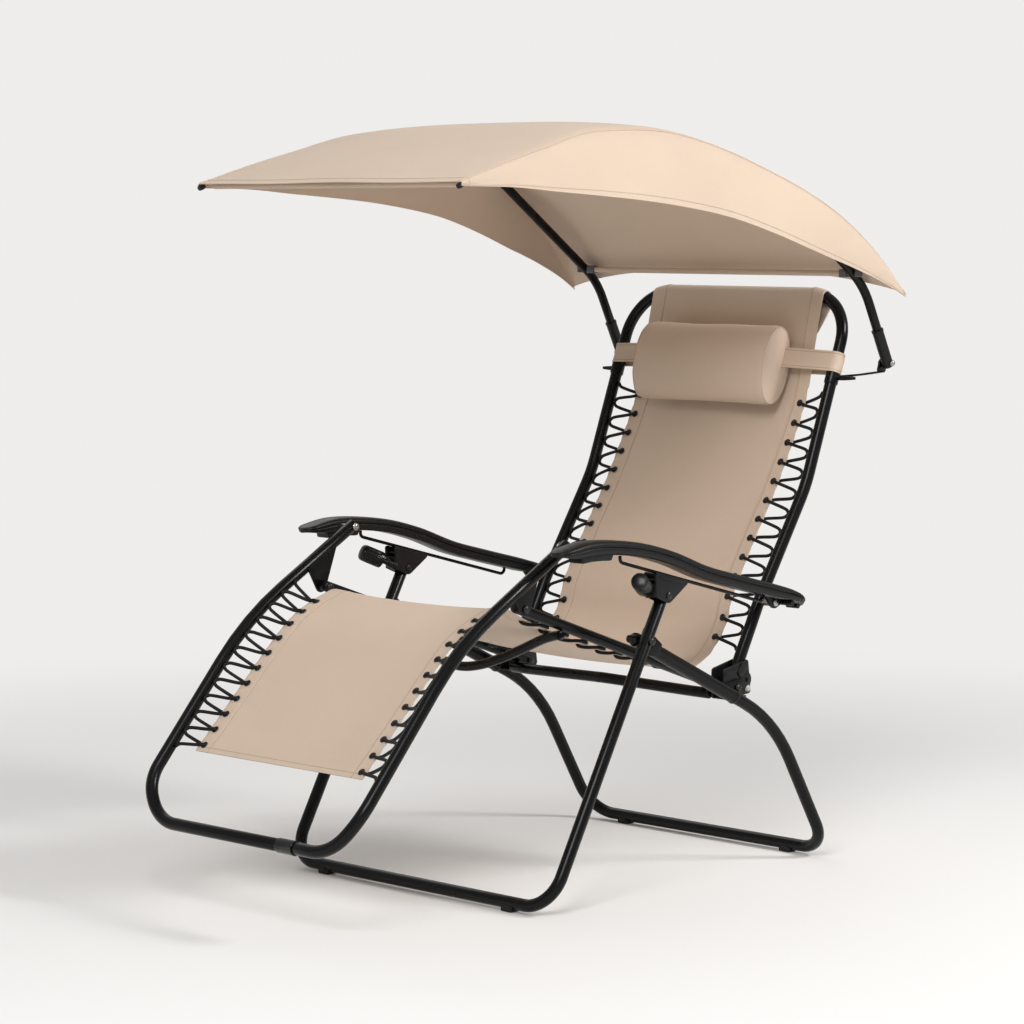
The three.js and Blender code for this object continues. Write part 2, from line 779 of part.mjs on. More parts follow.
function lacing(name, line, lace, outerSpot) {
  const eyelets = eyeletSpots(line, lace);
  const pitch = eyelets[1] - eyelets[0];
  const rise = slingThickness / 2 + cordDiameter / 2 + clearance;
  const eyeletX = slingHalf - eyeletInset;
  const edgeX = slingHalf + cordDiameter / 2 + lacePlay;
  const onSling = (x, distance, up) => {
    const { y, z, dy, dz } = placeAlong(line, distance);
    return new THREE.Vector3(x, y - dz * up, z + dy * up);
  };
  const points = [outerSpot(placeAlong(line, eyelets[0] - (1 - loopShares.back) * pitch))];
  for (const distance of eyelets) {
    points.push(onSling(edgeX, distance - (1 - loopShares.above) * pitch, rise));
    points.push(onSling(eyeletX, distance, rise));
    points.push(onSling(eyeletX, distance, -rise));
    points.push(onSling(edgeX, distance + loopShares.below * pitch, -rise));
    points.push(outerSpot(placeAlong(line, distance + loopShares.out * pitch)));
    if (distance !== eyelets.at(-1)) points.push(outerSpot(placeAlong(line, distance + loopShares.back * pitch)));
  }
  console.log(`${name}: least gap to itself ${leastSelfGap(points).toFixed(2)} mm`);
  return tubeAlong(bentRun(points.map((point) => ({ point }))), cordDiameter, cordSides);
}

function tubeSideSpot(stations) {
  const x = backLane - (frameTube * flatShare + cordDiameter) / 2 - lacePlay;
  return ({ y, z }) => at(x, nearestOn(stations, y, z));
}

function railSideSpot({ y, z }) {
  const rail = [{ point: at(0, knee) }, { point: at(0, hub) }];
  const spot = at(railLane, nearestOn(rail, y, z));
  const reach = (railTube + cordDiameter) / 2 + lacePlay;
  const slingUp = new THREE.Vector3(0, y - spot.y, z - spot.z).dot(railUp);
  const turn = Math.asin(Math.min(1, Math.max(0, -slingUp / reach)));
  spot.x -= reach * Math.cos(turn);
  return spot.addScaledVector(railUp, -reach * Math.sin(turn));
}

// Arms

function armTopLine() {
  return armTopShares.map(([along, up]) => [armStart + along * armLength, armEndZ + up * armRise]);
}

function armTopAt(y) {
  const line = armTopLine();
  const i = Math.max(1, line.findIndex(([spot]) => spot >= y));
  const share = (y - line[i - 1][0]) / (line[i][0] - line[i - 1][0]);
  return line[i - 1][1] + share * (line[i][1] - line[i - 1][1]);
}

// A length of the arm between two depths below its top
function armLayer(y0, y1, upper, lower, x0, x1) {
  const inner = armTopLine().filter(([y]) => y > y0 && y < y1);
  const line = [[y0, armTopAt(y0)], ...inner, [y1, armTopAt(y1)]];
  const top = line.map(([y, z]) => [y, z - upper]);
  const bottom = line.map(([y, z]) => [y, z - lower]);
  return sidePlate([...bottom, ...top.reverse()], x0, x1);
}

function armRest() {
  const x0 = armLane - armWidth / 2;
  const x1 = armLane + armWidth / 2;
  const armEnd = armStart + armLength;
  const slab = armLayer(armStart, armEnd, 0, armSlab, x0, x1);
  const ribX0 = x0 + ribInset;
  const rib = armLayer(armStart + ribSetback, armEnd - ribSetback, armSlab / 2, armHeight, ribX0, x1 - ribInset);
  const blockDepth = armHeight + armBlock.depth;
  const block = armLayer(
    armFront.y - armBlock.front, armFront.y + armBlock.back, armSlab, blockDepth, ribX0, x1 - ribInset);
  const earRoots = [armRear.y - armEar.reach, armRear.y + armEar.reach];
  const ear = hullPlate([
    [armRear.y, armRear.z, armEar.eye],
    ...earRoots.map((y) => [y, armTopAt(y) - armEar.depth, armEar.root]),
  ], ribX0, ribX0 + armEar.thickness);
  return cut(
    join(slab, rib, block, ear),
    crossBar(armFront, x0 - overrun, x0 + pinReach + clearance, boltRadius + openPivotPlay, tubeSides),
    crossBar(armRear, x0 - overrun, ribX0 + armEar.thickness + overrun, boltHole));
}

function armFrontPin() {
  const inner = backLane - frameTube / 2 - clearance;
  const tip = armLane - armWidth / 2 + pinReach - clearance;
  const length = tip - inner + headThickness;
  const profile = [
    [0, 0], [boltHead, 0], [boltHead, headThickness],
    [boltRadius, headThickness], [boltRadius, length], [0, length],
  ];
  return turned(profile, boltSides).rotateZ(-Math.PI / 2).translate(inner - headThickness, armFront.y, armFront.z);
}

function armPivotBolt() {
  const root = backLane;
  const earInner = armLane - armWidth / 2 + ribInset;
  const collarStart = frameTube / 2 + clearance;
  const collarEnd = earInner - clearance - root;
  const length = earInner + armEar.thickness - root;
  const profile = [
    [0, 0], [boltRadius, 0], [boltRadius, collarStart], [armCollarRadius, collarStart],
    [armCollarRadius, collarEnd], [boltRadius, collarEnd], [boltRadius, length], [0, length],
  ];
  return turned(profile, boltSides).rotateZ(-Math.PI / 2).translate(root, armRear.y, armRear.z);
}

function slideRod() {
  const under = (y) => Math.min(armTopAt(y - rod.radius), armTopAt(y + rod.radius)) - armHeight - clearance;
  return tubeAlong(bentRun([
    { point: new THREE.Vector3(frontLegLane, rod.frontY, under(rod.frontY)) },
    { point: new THREE.Vector3(frontLegLane, rod.frontY, rod.frontZ) },
    { point: new THREE.Vector3(frontLegLane, rod.rearY, rod.rearZ) },
    { point: new THREE.Vector3(frontLegLane, rod.rearY, under(rod.rearY)) },
  ]), 2 * rod.radius, cornerSides);
}

// Lock brackets: a channel on the front leg's top that straddles the slide rod

const rodSlope = (rod.rearZ - rod.frontZ) / (rod.rearY - rod.frontY);
const rodHeight = (y) => rod.frontZ + (y - rod.frontY) * rodSlope;
const channelHalf = frameTube / 2 + clearance;

function lockBossStart() {
  return new THREE.Vector3(frontLegLane - boss.x, lock.y - boss.y, lock.z + boss.z);
}

function lockBracket() {
  const circles = [
    [lock.y, lock.z, bracket.eye],
    [lock.y - bracket.front, lock.z + bracket.frontRise, bracket.corner],
    [lock.y + bracket.back, lock.z + bracket.backRise, bracket.corner],
    [lock.y - bracket.front + bracket.corner, lock.z + bracket.lobeRise, bracket.lobe],
  ];
  const inner = frontLegLane - channelHalf;
  const outer = frontLegLane + channelHalf;
  const cheeks = [[inner - plateThickness, inner], [outer, outer + plateThickness]].map(
    ([x0, x1]) => hullPlate(circles, x0, x1));
  const webY0 = lock.y - bracket.front;
  const webY1 = lock.y + bracket.back - bracket.corner;
  const webLine = [webY0, webY1].map((y) => [y, rodHeight(y) - webDrop]);
  const web = sidePlate(
    sheetOutline(webLine, webThickness), inner - plateThickness / 2, outer + plateThickness / 2);
  const frontY = lock.y - bracket.front - bracket.corner;
  const nose = box(
    inner - plateThickness / 2, outer + plateThickness / 2, frontY, frontY + boss.thickness,
    lock.z - boss.below, lock.z + boss.above);
  const pin = crossBar(lock, inner - plateThickness, outer + plateThickness, boltRadius);
  const start = lockBossStart();
  const end = start.clone().addScaledVector(knobLean, boss.length);
  const spigot = straightBar(start, end, 2 * boss.radius, boltSides);
  return join(...cheeks, web, nose, pin, spigot);
}

function lockKnob() {
  const stemEnd = knob.stemLength;
  const total = stemEnd + knob.length;
  const profile = [
    [0, 0], [knob.stemRadius, 0], [knob.stemRadius, stemEnd], [knob.radius - knob.chamfer, stemEnd],
    [knob.radius, stemEnd + knob.chamfer], [knob.radius, total - knob.chamfer],
    [knob.radius - knob.chamfer, total], [0, total],
  ];
  const turn = new THREE.Quaternion().setFromUnitVectors(new THREE.Vector3(0, 1, 0), knobLean);
  const start = lockBossStart().addScaledVector(knobLean, boss.length + clearance);
  return turned(profile, tubeSides).applyQuaternion(turn).translate(start.x, start.y, start.z);
}

// Headrest

function headPillow() {
  const half = pillow.length / 2;
  const profile = pillowShares.map(([out, along]) => [(out * pillow.height) / 2, along * half]);
  const { front, along, spotAt } = upperRun();
  const place = spotAt(pillow.z).addScaledVector(front, (pillow.depth + slingThickness) / 2 + pillow.rearPlay);
  const bolster = turned(profile, padSides).rotateZ(-Math.PI / 2);
  bolster.scale(1, pillow.depth / pillow.height, 1);
  return bolster.rotateX(Math.atan2(-along.y, along.z)).translate(place.x, place.y, place.z);
}

// An open band: from one end of the bolster round both back tubes to the other end
function pillowStrap() {
  const front = frameTube / 2 + clearance + strap.thickness / 2;
  const outerX = backLane + front;
  const end = pillow.length / 2 + clearance - strap.tuck;
  const corner = (x, y) => ({ point: new THREE.Vector3(x, y, 0), radius: strap.corner });
  const run = bentRun([
    { point: new THREE.Vector3(-end, front + strap.lead, 0) }, corner(-outerX, front),
    corner(-outerX, -strap.rearDepth), corner(outerX, -strap.rearDepth), corner(outerX, front),
    { point: new THREE.Vector3(end, front + strap.lead, 0) },
  ]);
  const outline = sheetOutline(run.map(({ point }) => [point.x, point.y]), strap.thickness);
  const shape = new THREE.Shape(outline.map(([x, y]) => new THREE.Vector2(x, y)));
  const band = new THREE.ExtrudeGeometry(shape, { depth: strap.width, bevelEnabled: false });
  const basis = new THREE.Matrix4().makeBasis(new THREE.Vector3(1, 0, 0), backFront, backAxis.clone().negate());
  const middle = at(0, backTop).addScaledVector(backAxis, (strap.z - backTop.z) / backAxis.z);
  const top = middle.addScaledVector(backAxis, strap.width / 2);
  return band.applyMatrix4(basis).translate(top.x, top.y, top.z);
}

// Canopy

function canopySpot(row, across) {
  const y = canopy.frontY + alongShares[row] * canopy.length;
  const ridgeX = ridgeOutShares[row] * canopy.halfWidth;
  const ridgeZ = canopy.baseZ + ridgeRiseShares[row] * canopy.rise;
  const flat = 1 - Math.abs(across) ** crownPower;
  const pull = alongShares[row] ** hemPullPower * rearHemPull * flat;
  return new THREE.Vector3(across * ridgeX, y - pull, ridgeZ + crownShares[row] * canopy.rise * flat);
}

function hemSpot(row, side) {
  const y = canopy.frontY + alongShares[row] * canopy.length;
  return new THREE.Vector3(
    side * hemOutShares[row] * canopy.halfWidth, y, canopy.baseZ + hemRiseShares[row] * canopy.rise);
}

function canopyRow(row) {
  const top = crossShares.map((across) => canopySpot(row, across));
  const right = hemSpot(row, -1);
  const left = hemSpot(row, 1);
  return [right, right.clone().lerp(top[0], 0.5), ...top, left.clone().lerp(top.at(-1), 0.5), left];
}

// The cover is a thin shell: an outer grid, the same grid moved inwards, and its rim
function canopyCover() {
  const rows = alongShares.map((_, row) => canopyRow(row));
  const columns = rows[0].length;
  const outer = new THREE.BufferGeometry();
  outer.setAttribute('position', new THREE.Float32BufferAttribute(rows.flat().flatMap((p) => p.toArray()), 3));
  const faces = [];
  for (let r = 0; r + 1 < rows.length; r += 1) {
    for (let c = 0; c + 1 < columns; c += 1) {
      const a = r * columns + c;
      faces.push(a, a + 1, a + columns + 1, a, a + columns + 1, a + columns);
    }
  }
  outer.setIndex(faces);
  outer.computeVertexNormals();
  const count = rows.length * columns;
  const normal = outer.attributes.normal;
  const inner = rows.flat().map((p, i) => p.clone().addScaledVector(
    new THREE.Vector3().fromBufferAttribute(normal, i), -canopy.thickness));
  const rim = [];
  for (let c = 0; c < columns; c += 1) rim.push(c);
  for (let r = 1; r < rows.length; r += 1) rim.push(r * columns + columns - 1);
  for (let c = columns - 2; c >= 0; c -= 1) rim.push((rows.length - 1) * columns + c);
  for (let r = rows.length - 2; r > 0; r -= 1) rim.push(r * columns);
  const all = [...faces];
  for (let i = 0; i < faces.length; i += 3) all.push(faces[i] + count, faces[i + 2] + count, faces[i + 1] + count);
  rim.forEach((a, i) => {
    const b = rim[(i + 1) % rim.length];
    all.push(a, a + count, b + count, a, b + count, b);
  });
  const cover = new THREE.BufferGeometry();
  const spots = [...rows.flat(), ...inner];
  cover.setAttribute('position', new THREE.Float32BufferAttribute(spots.flatMap((p) => p.toArray()), 3));
  cover.setIndex(all);
  return cover;
}

const canopyFoot = new THREE.Vector3(0, canopyBend.y - canopyPivot.y, canopyBend.z - canopyPivot.z).normalize();

function canopyArm() {
  const start = at(canopyArmLane, canopyPivot).addScaledVector(canopyFoot, canopySleeveLength - canopyPlug);
  const underRidge = alongShares.map((_, row) => canopySpot(row, 1)).filter(({ y }) => y < canopyJoin.y);
  const ridge = underRidge.map((spot) => spot.add(new THREE.Vector3(-canopyArmInset, 0, -canopyArmInset)));
  ridge[0].y = frontBattenY - canopyTube / 2;
  return tubeAlong(bentRun([
    { point: start },
    { point: at(canopyArmLane, canopyBend), radius: canopyBend.radius },
    { point: at(canopyArmLane, canopyJoin) },
    ...ridge.reverse().map((point) => ({ point })),
  ]), canopyTube);
}

function canopySleeve() {
  const start = at(canopyArmLane, canopyPivot).addScaledVector(canopyFoot, -canopySleeveTail);
  const end = at(canopyArmLane, canopyPivot).addScaledVector(canopyFoot, canopySleeveLength);
  const boreStart = at(canopyArmLane, canopyPivot).addScaledVector(
    canopyFoot, canopySleeveLength - canopyPlug - clearance);
  const boreDiameter = (canopyTube + 2 * clearance) / flatShare;
  const beyond = end.clone().addScaledVector(canopyFoot, overrun);
  return cut(
    straightBar(start, end, canopySleeveTube), straightBar(boreStart, beyond, boreDiameter),
    crossBar(canopyPivot, canopyArmLane - canopySleeveTube, canopyArmLane + canopySleeveTube, canopyBolt.hole));
}

const canopyEarX = canopyArmLane - canopySleeveTube / 2 - clearance - plateThickness;

function canopyBracketPiece() {
  const onBack = ((canopyPivot.z - canopyBracket.drop - backElbow.z) * backAxis.y) / backAxis.z + backElbow.y;
  const z = canopyPivot.z - canopyBracket.drop;
  const strip = new THREE.Shape(roundedHull([
    [backLane + frameTube / 2, onBack, canopyBracket.corner],
    [canopyEarX + plateThickness - canopyBracket.corner, canopyPivot.y - canopyBracket.heelBack, canopyBracket.corner],
  ]).map(([x, y]) => new THREE.Vector2(x, y)));
  const flat = new THREE.ExtrudeGeometry(strip, { depth: plateThickness, bevelEnabled: false }).translate(0, 0, z);
  const ear = hullPlate([
    [canopyPivot.y, canopyPivot.z, canopyBracket.eye],
    [canopyPivot.y - canopyBracket.heelBack, z + canopyBracket.heel, canopyBracket.heel],
  ], canopyEarX, canopyEarX + plateThickness);
  const tube = straightBar(
    at(backLane, backElbow), at(backLane, backTop), frameTube + 2 * clearance);
  return cut(
    join(flat, ear), tube,
    crossBar(canopyPivot, canopyEarX - overrun, canopyEarX + plateThickness + overrun, canopyBolt.hole));
}

function canopyPivotBolt() {
  return boltAcross(
    canopyPivot, canopyEarX - clearance - headThickness,
    canopyArmLane + canopySleeveTube / 2 + clearance + headThickness, canopyBolt.radius, canopyBolt.head);
}

function frontBatten() {
  const first = canopySpot(0, 1);
  const second = canopySpot(1, 1);
  const share = (frontBattenY - first.y) / (second.y - first.y);
  const z = first.z + share * (second.z - first.z) - canopyArmInset;
  const half = first.x - canopyArmInset - canopyTube / 2 - 2 * clearance;
  return crossBar({ y: frontBattenY, z }, -half, half, battenDiameter / 2);
}

function rearBatten() {
  const run = (canopyBend.y - rearBattenY) / (canopyBend.y - canopyJoin.y);
  const z = canopyBend.z + run * (canopyJoin.z - canopyBend.z);
  const half = canopyArmLane - canopyTube / 2 - clearance;
  return crossBar({ y: rearBattenY, z }, -half, half, battenDiameter / 2);
}

// Base
add('rear_leg_frame', rearLegFrame(), 'paint');
addPair('rear_leg_sleeve', rearLegSleeve(), 'paint');
addPair('leg_pivot_bolt', legPivotBolt(), 'blackSteel');
addPair('rear_foot', rubberFoot(rearBarY, rearLegLane), 'rubber');
add('front_leg_frame', frontLegFrame(), 'paint');
addPair('pivot_saddle', pivotSaddle(), 'paint');
addPair('front_foot', rubberFoot(frontBarY, frontLegLane), 'rubber');
addPair('lock_bracket', lockBracket(), 'plastic');
addPair('lock_knob', lockKnob(), 'plastic');

// Seat
addPair('seat_rail', seatRail(), 'paint');
add('front_cross_bar', frontCrossBar(), 'paint');
add('rear_cross_bar', rearCrossBar(), 'paint');
addPair('hub_bolt', hubBolt(), 'blackSteel');
addPair('hub_plates', hubPlates(), 'plastic');
add('seat_sling', lacedPanel(slingPanel(seatLine), seatLine, seatLace), 'fabric');
addPair('seat_lacing', lacing('seat lacing', seatLine, seatLace, railSideSpot), 'cord');

// Foot frame
addPair('knee_bolt', kneeBolt(), 'blackSteel');
add('foot_frame_left', footHalf(footSeamX - footPlug + clearance), 'paint');
add('foot_frame_right', footFrameRight(), 'paint');
addPair('arm_front_pin', armFrontPin(), 'steel');
add('foot_sling', lacedPanel(slingPanel(footLine), footLine, footLace), 'fabric');
addPair('foot_lacing', lacing('foot lacing', footLine, footLace, tubeSideSpot(footFrameRun(footSeamX))), 'cord');

// Back
add('back_frame', backFrame(), 'paint');
add('back_sling', backSling(), 'fabric');
addPair('back_lacing', lacing('back lacing', backLine, backLace, tubeSideSpot(bentRun(backSide(1)))), 'cord');
addPair('canopy_bracket', canopyBracketPiece(), 'paint');
addPair('canopy_pivot_bolt', canopyPivotBolt(), 'steel');
add('headrest_pillow', headPillow(), 'fabric');
add('headrest_strap', pillowStrap(), 'fabric');

// Arms
addPair('armrest', armRest(), 'plastic');
addPair('slide_rod', slideRod(), 'paint');
addPair('arm_pivot_bolt', armPivotBolt(), 'steel');

// Canopy
add('canopy_cover', canopyCover(), 'fabric');
addPair('canopy_arm', canopyArm(), 'paint');
addPair('canopy_sleeve', canopySleeve(), 'plastic');
add('front_batten', frontBatten(), 'paint');
add('rear_batten', rearBatten(), 'paint');

// The origin lies on the floor, under the middle of the whole chair
const extent = new THREE.Box3().setFromObject(chair);
const middleY = (extent.min.y + extent.max.y) / 2;
for (const mesh of chair.children) mesh.position.y -= middleY;

export default chair;
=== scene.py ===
import math

import bmesh
import bpy
from mathutils import Matrix, Vector


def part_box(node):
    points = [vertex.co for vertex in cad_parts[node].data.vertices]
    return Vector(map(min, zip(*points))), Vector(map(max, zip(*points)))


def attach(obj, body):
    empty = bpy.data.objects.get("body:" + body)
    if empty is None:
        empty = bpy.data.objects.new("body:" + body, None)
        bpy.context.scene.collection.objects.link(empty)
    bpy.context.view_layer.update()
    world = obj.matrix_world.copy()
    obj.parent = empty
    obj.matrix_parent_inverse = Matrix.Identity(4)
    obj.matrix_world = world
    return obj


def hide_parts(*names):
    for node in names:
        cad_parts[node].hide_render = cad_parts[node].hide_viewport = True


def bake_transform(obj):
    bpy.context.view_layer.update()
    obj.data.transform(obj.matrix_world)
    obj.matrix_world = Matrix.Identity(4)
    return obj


bl_info = {
    "name": "Reclining Sun Lounger",
    "version": (1, 0, 0),
    "blender": (4, 5, 0),
    "location": "3D View > Sidebar > Lounger",
    "description": "Dresses the packed frame of a laced reclining lounger with a canopy",
    "category": "Object",
}

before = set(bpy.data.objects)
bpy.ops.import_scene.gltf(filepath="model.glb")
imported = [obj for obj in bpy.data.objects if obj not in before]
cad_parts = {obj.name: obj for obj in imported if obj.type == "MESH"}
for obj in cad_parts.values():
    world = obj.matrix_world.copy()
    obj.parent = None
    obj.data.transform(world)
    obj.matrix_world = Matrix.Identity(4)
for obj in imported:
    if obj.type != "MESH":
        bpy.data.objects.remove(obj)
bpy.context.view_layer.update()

# Measures in side view, in millimetres, from the floor and from a mark on the front floor bar
HUB = (508.5, 339.1)
KNEE = (0.6, 519.4)
ARM_FRONT = (85.1, 620.3)
ARM_REAR = (586.8, 488.4)
LOCK = (267.5, 528.5)
LEG_PIVOT = (228.0, 452.0)
CANOPY_PIVOT = (865.0, 912.0)
FLOOR_BAR_Z = 15.0
FRONT_BAR_Y = -10.0
REAR_BEND = (594.0, 272.7)
REAR_BAR_Y = 745.0
BACK_ELBOW = (714.0, 690.0)
BACK_TOP = (842.0, 1036.0)
FOOT_ELBOW = (-163.2, 472.5)
FOOT_TURN = (-386.0, 210.0)
FOOT_BAR = (-409.0, 148.0)
CANOPY_BEND = (795.0, 1055.0)
CANOPY_JOIN = (550.0, 1234.0)
ROD_FRONT = (160.0, 593.0)
ROD_REAR = (532.0, 495.0)
FRONT_BATTEN_Y = -197.0
REAR_BATTEN_Y = 764.0
HEADREST_MIDDLE = (793.7, 896.0)
HEADREST_LEAN = (51.8, 205.1)
BAND_Z = 912.0
BACK_BEND = 93.0

# Lanes across the chair
RAIL_LANE = 245.0
BACK_LANE = 272.0
INNER_CHEEK = 256.2
OUTER_CHEEK = 283.5
LUG = 287.6
REAR_LANE = 302.5
SADDLE = 315.3
FRONT_LANE = 330.2
ARM_LANE = 321.9
CANOPY_LANE = 338.0

# Across the chair: a main tube's radius and a plate's thickness, then from a tube's lane the near and far face
# of a plate beside it, and the far face beside a thinner seat rail
TUBE_RADIUS = 11.0
PLATE_THICK = 3.6
NEAR_FACE = 11.3
FAR_FACE = 14.9
RAIL_FAR_FACE = 13.9

# The sling: half its width, its eyelets' inset, its line in three parts, and its radius round the top bar
SLING_HALF = 215.0
EYELET_INSET = 13.0
FOOT_LINE = [(-329, 261), (-245, 345), (-160, 430), (-105, 477), (-40, 508), (0, 515.5)]
SEAT_LINE = [(0, 515.5), (60, 487), (184, 441), (311, 404), (380, 386), (440, 374), (478, 372), (515, 388)]
BACK_LINE = [(515, 388), (530, 400), (563, 443), (583, 497), (640, 592), (703, 690), (778, 834)]
WRAP_RADIUS = 12.6

# Seams between the sling's panels
KNEE_SEAM = SEAT_LINE[0]
SEAT_MIDDLE = (250.0, 421.0)
HIP_SEAM = SEAT_LINE[-1]

# First eyelet's distance from each line's start, last one's from its end, and their number
LACES = {
    "foot": (FOOT_LINE, 14.0, 64.0, 11),
    "seat": (SEAT_LINE, 54.0, 90.0, 9),
    "back": (BACK_LINE + [(829.8, 1039.1)], 45.0, 209.5, 13),
}

# An armrest: its front end, length, rear end's height and rise, and its top line in shares of these
ARM_START = 8.0
ARM_LENGTH = 640.0
ARM_END_Z = 489.0
ARM_RISE = 145.0
ARM_TOP = [(0, 0.903), (0.12, 1), (0.291, 0.945), (0.433, 0.8), (0.578, 0.572), (0.722, 0.407), (0.875, 0.241),
           (0.953, 0.131), (1, 0)]
# Half an arm's section: share of its half width, and depth under its top
ARM_SECTION = [(0.0, 0.0), (0.4, 0.25), (0.68, 1.2), (0.86, 3.0), (0.96, 5.6), (1.0, 8.8), (0.985, 11.4),
               (0.93, 12.5), (0.895, 13.3), (0.93, 14.3), (0.955, 15.6), (0.95, 20.0), (0.915, 24.6),
               (0.84, 27.0), (0.7, 28.0), (0.0, 28.0)]

# The headrest bolster, in metres: half its length, height and depth, and how far behind its middle it is flat
BOLSTER_LENGTH = 0.163
BOLSTER_HEIGHT = 0.075
BOLSTER_DEPTH = 0.038
BOLSTER_BACK = 0.0365

# The canopy cover: its front edge, length, lowest height, rise and half width, and its rear edge's inward bow
CANOPY_FRONT = -216.0
CANOPY_LENGTH = 1031.0
CANOPY_BASE = 1041.0
CANOPY_RISE = 291.0
CANOPY_HALF = 420.0
REAR_PULL = 15.0
# Shares of its length, and there its ridges' and hems' rise, how far out they lie, and its crown, in shares too
ALONG = [0, 0.1125, 0.21, 0.3, 0.4, 0.5, 0.6, 0.7, 0.8, 0.88, 0.95, 1]
RIDGE_RISE = [0.677, 0.797, 0.89, 0.973, 1, 0.993, 0.918, 0.787, 0.625, 0.443, 0.213, 0.007]
HEM_RISE = [0.65, 0.646, 0.622, 0.601, 0.574, 0.533, 0.474, 0.378, 0.261, 0.168, 0.072, -0.017]
RIDGE_OUT = [0.793, 0.781, 0.764, 0.745, 0.729, 0.736, 0.774, 0.831, 0.89, 0.938, 0.979, 1]
HEM_OUT = [0.793, 0.802, 0.812, 0.824, 0.838, 0.855, 0.874, 0.898, 0.926, 0.952, 0.979, 1]
CROWN = [0, 0.014, 0.027, 0.041, 0.048, 0.048, 0.045, 0.045, 0.048, 0.062, 0.093, 0.127]
COVER_THICK = 0.0016

# Where the camera stands and looks, in metres, its lens, and the colour in which floor and backdrop meet
CAMERA_PLACE = (4.309, -4.2573, 1.184)
CAMERA_TARGET = (-0.079, 0.0767, 0.645)
CAMERA_LENS = 119.53
BACKDROP_GLOW = (0.86, 0.85, 0.835, 1)

low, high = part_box("front_foot_left")
DEPTH_SHIFT = (low.y + high.y) * 500 - FRONT_BAR_Y


class LoungerSizes(bpy.types.PropertyGroup):
    """Sizes of the dressed pieces that a user would change"""

    tube: bpy.props.FloatProperty(
        name="Frame tube", description="Outer diameter of the main tubes",
        default=0.022, min=0.01, max=0.04, unit="LENGTH")
    cord: bpy.props.FloatProperty(
        name="Lacing cord", description="Diameter of the elastic lacing",
        default=0.0062, min=0.002, max=0.008, unit="LENGTH")
    fabric: bpy.props.FloatProperty(
        name="Fabric thickness", description="Thickness of the sling fabric",
        default=0.0014, min=0.0005, max=0.004, unit="LENGTH")
    hem: bpy.props.FloatProperty(
        name="Hem width", description="Width of the folded hem along the laced edges",
        default=0.033, min=0.01, max=0.06, unit="LENGTH")
    sag: bpy.props.FloatProperty(
        name="Sling sag", description="How far the middle of the sling hangs below its edges",
        default=0.007, min=0.0, max=0.03, unit="LENGTH")
    weave: bpy.props.FloatProperty(
        name="Weave pitch", description="Distance between two threads of the fabric",
        default=0.0016, min=0.0005, max=0.005, unit="LENGTH")


class LoungerColours(bpy.types.PropertyGroup):
    """Colours of the finishes that a user would change"""

    fabric: bpy.props.FloatVectorProperty(
        name="Fabric", description="Colour of the sling, canopy and headrest",
        default=(0.635, 0.502, 0.392), size=3, min=0, max=1, subtype="COLOR")
    paint: bpy.props.FloatVectorProperty(
        name="Tube paint", description="Colour of the painted tubes",
        default=(0.0028, 0.0028, 0.0029), size=3, min=0, max=1, subtype="COLOR")
    plastic: bpy.props.FloatVectorProperty(
        name="Plastic", description="Colour of the moulded plastic",
        default=(0.006, 0.006, 0.0063), size=3, min=0, max=1, subtype="COLOR")
    backdrop: bpy.props.FloatVectorProperty(
        name="Floor", description="Colour of the floor and the wall behind",
        default=(0.88, 0.87, 0.855), size=3, min=0, max=1, subtype="COLOR")


def sizes():
    return bpy.context.scene.lounger_sizes


def colours():
    return bpy.context.scene.lounger_colours


def cord_radius():
    """The lacing cord's radius in millimetres"""
    return sizes().cord * 500


# Places

def spot(x, y, z):
    """A point given in the chair's own millimetres, in metres in the shared frame"""
    return Vector((x / 1000, (y + DEPTH_SHIFT) / 1000, z / 1000))


def at(x, place):
    return spot(x, place[0], place[1])


def unit(start, end):
    length = math.hypot(end[0] - start[0], end[1] - start[1])
    return ((end[0] - start[0]) / length, (end[1] - start[1]) / length)


def along(start, direction, distance, up=0.0):
    """A side-view point at a distance along a direction, and a height over it"""
    return (start[0] + direction[0] * distance - direction[1] * up,
            start[1] + direction[1] * distance + direction[0] * up)


def bent_path(corners):
    """Points along straight runs joined by arcs: each corner is a point and its bend radius in millimetres"""
    path = []
    for i, (corner, radius) in enumerate(corners):
        if i in (0, len(corners) - 1) or radius == 0:
            path.append(corner.copy())
            continue
        before = (corner - corners[i - 1][0]).normalized()
        after = (corners[i + 1][0] - corner).normalized()
        angle = before.angle(after)
        bend = radius / 1000
        start = corner - before * bend * math.tan(angle / 2)
        inward = (after - before * after.dot(before)).normalized()
        count = max(2, math.ceil(angle / math.radians(5)))
        for n in range(count + 1):
            turn = angle * n / count
            path.append(start + before * bend * math.sin(turn) + inward * bend * (1 - math.cos(turn)))
    return path


def curve_through(points, steps=6):
    """A smooth curve through points, as pairs, longer rows of numbers or vectors like those given"""
    kind = type(points[0])
    last = len(points) - 1
    dense = []
    for i in range(last):
        near = [points[min(last, max(0, i + k))] for k in (-1, 0, 1, 2)]
        for n in range(steps):
            t = n / steps
            weights = (-0.5 * t + t ** 2 - 0.5 * t ** 3, 1 - 2.5 * t ** 2 + 1.5 * t ** 3,
                       0.5 * t + 2 * t ** 2 - 1.5 * t ** 3, -0.5 * t ** 2 + 0.5 * t ** 3)
            dense.append(kind([sum(w * p[k] for w, p in zip(weights, near)) for k in range(len(near[0]))]))
    return dense + [kind(points[-1])]


def smooth_line(line, count):
    return evenly(curve_through(line, 24), count)


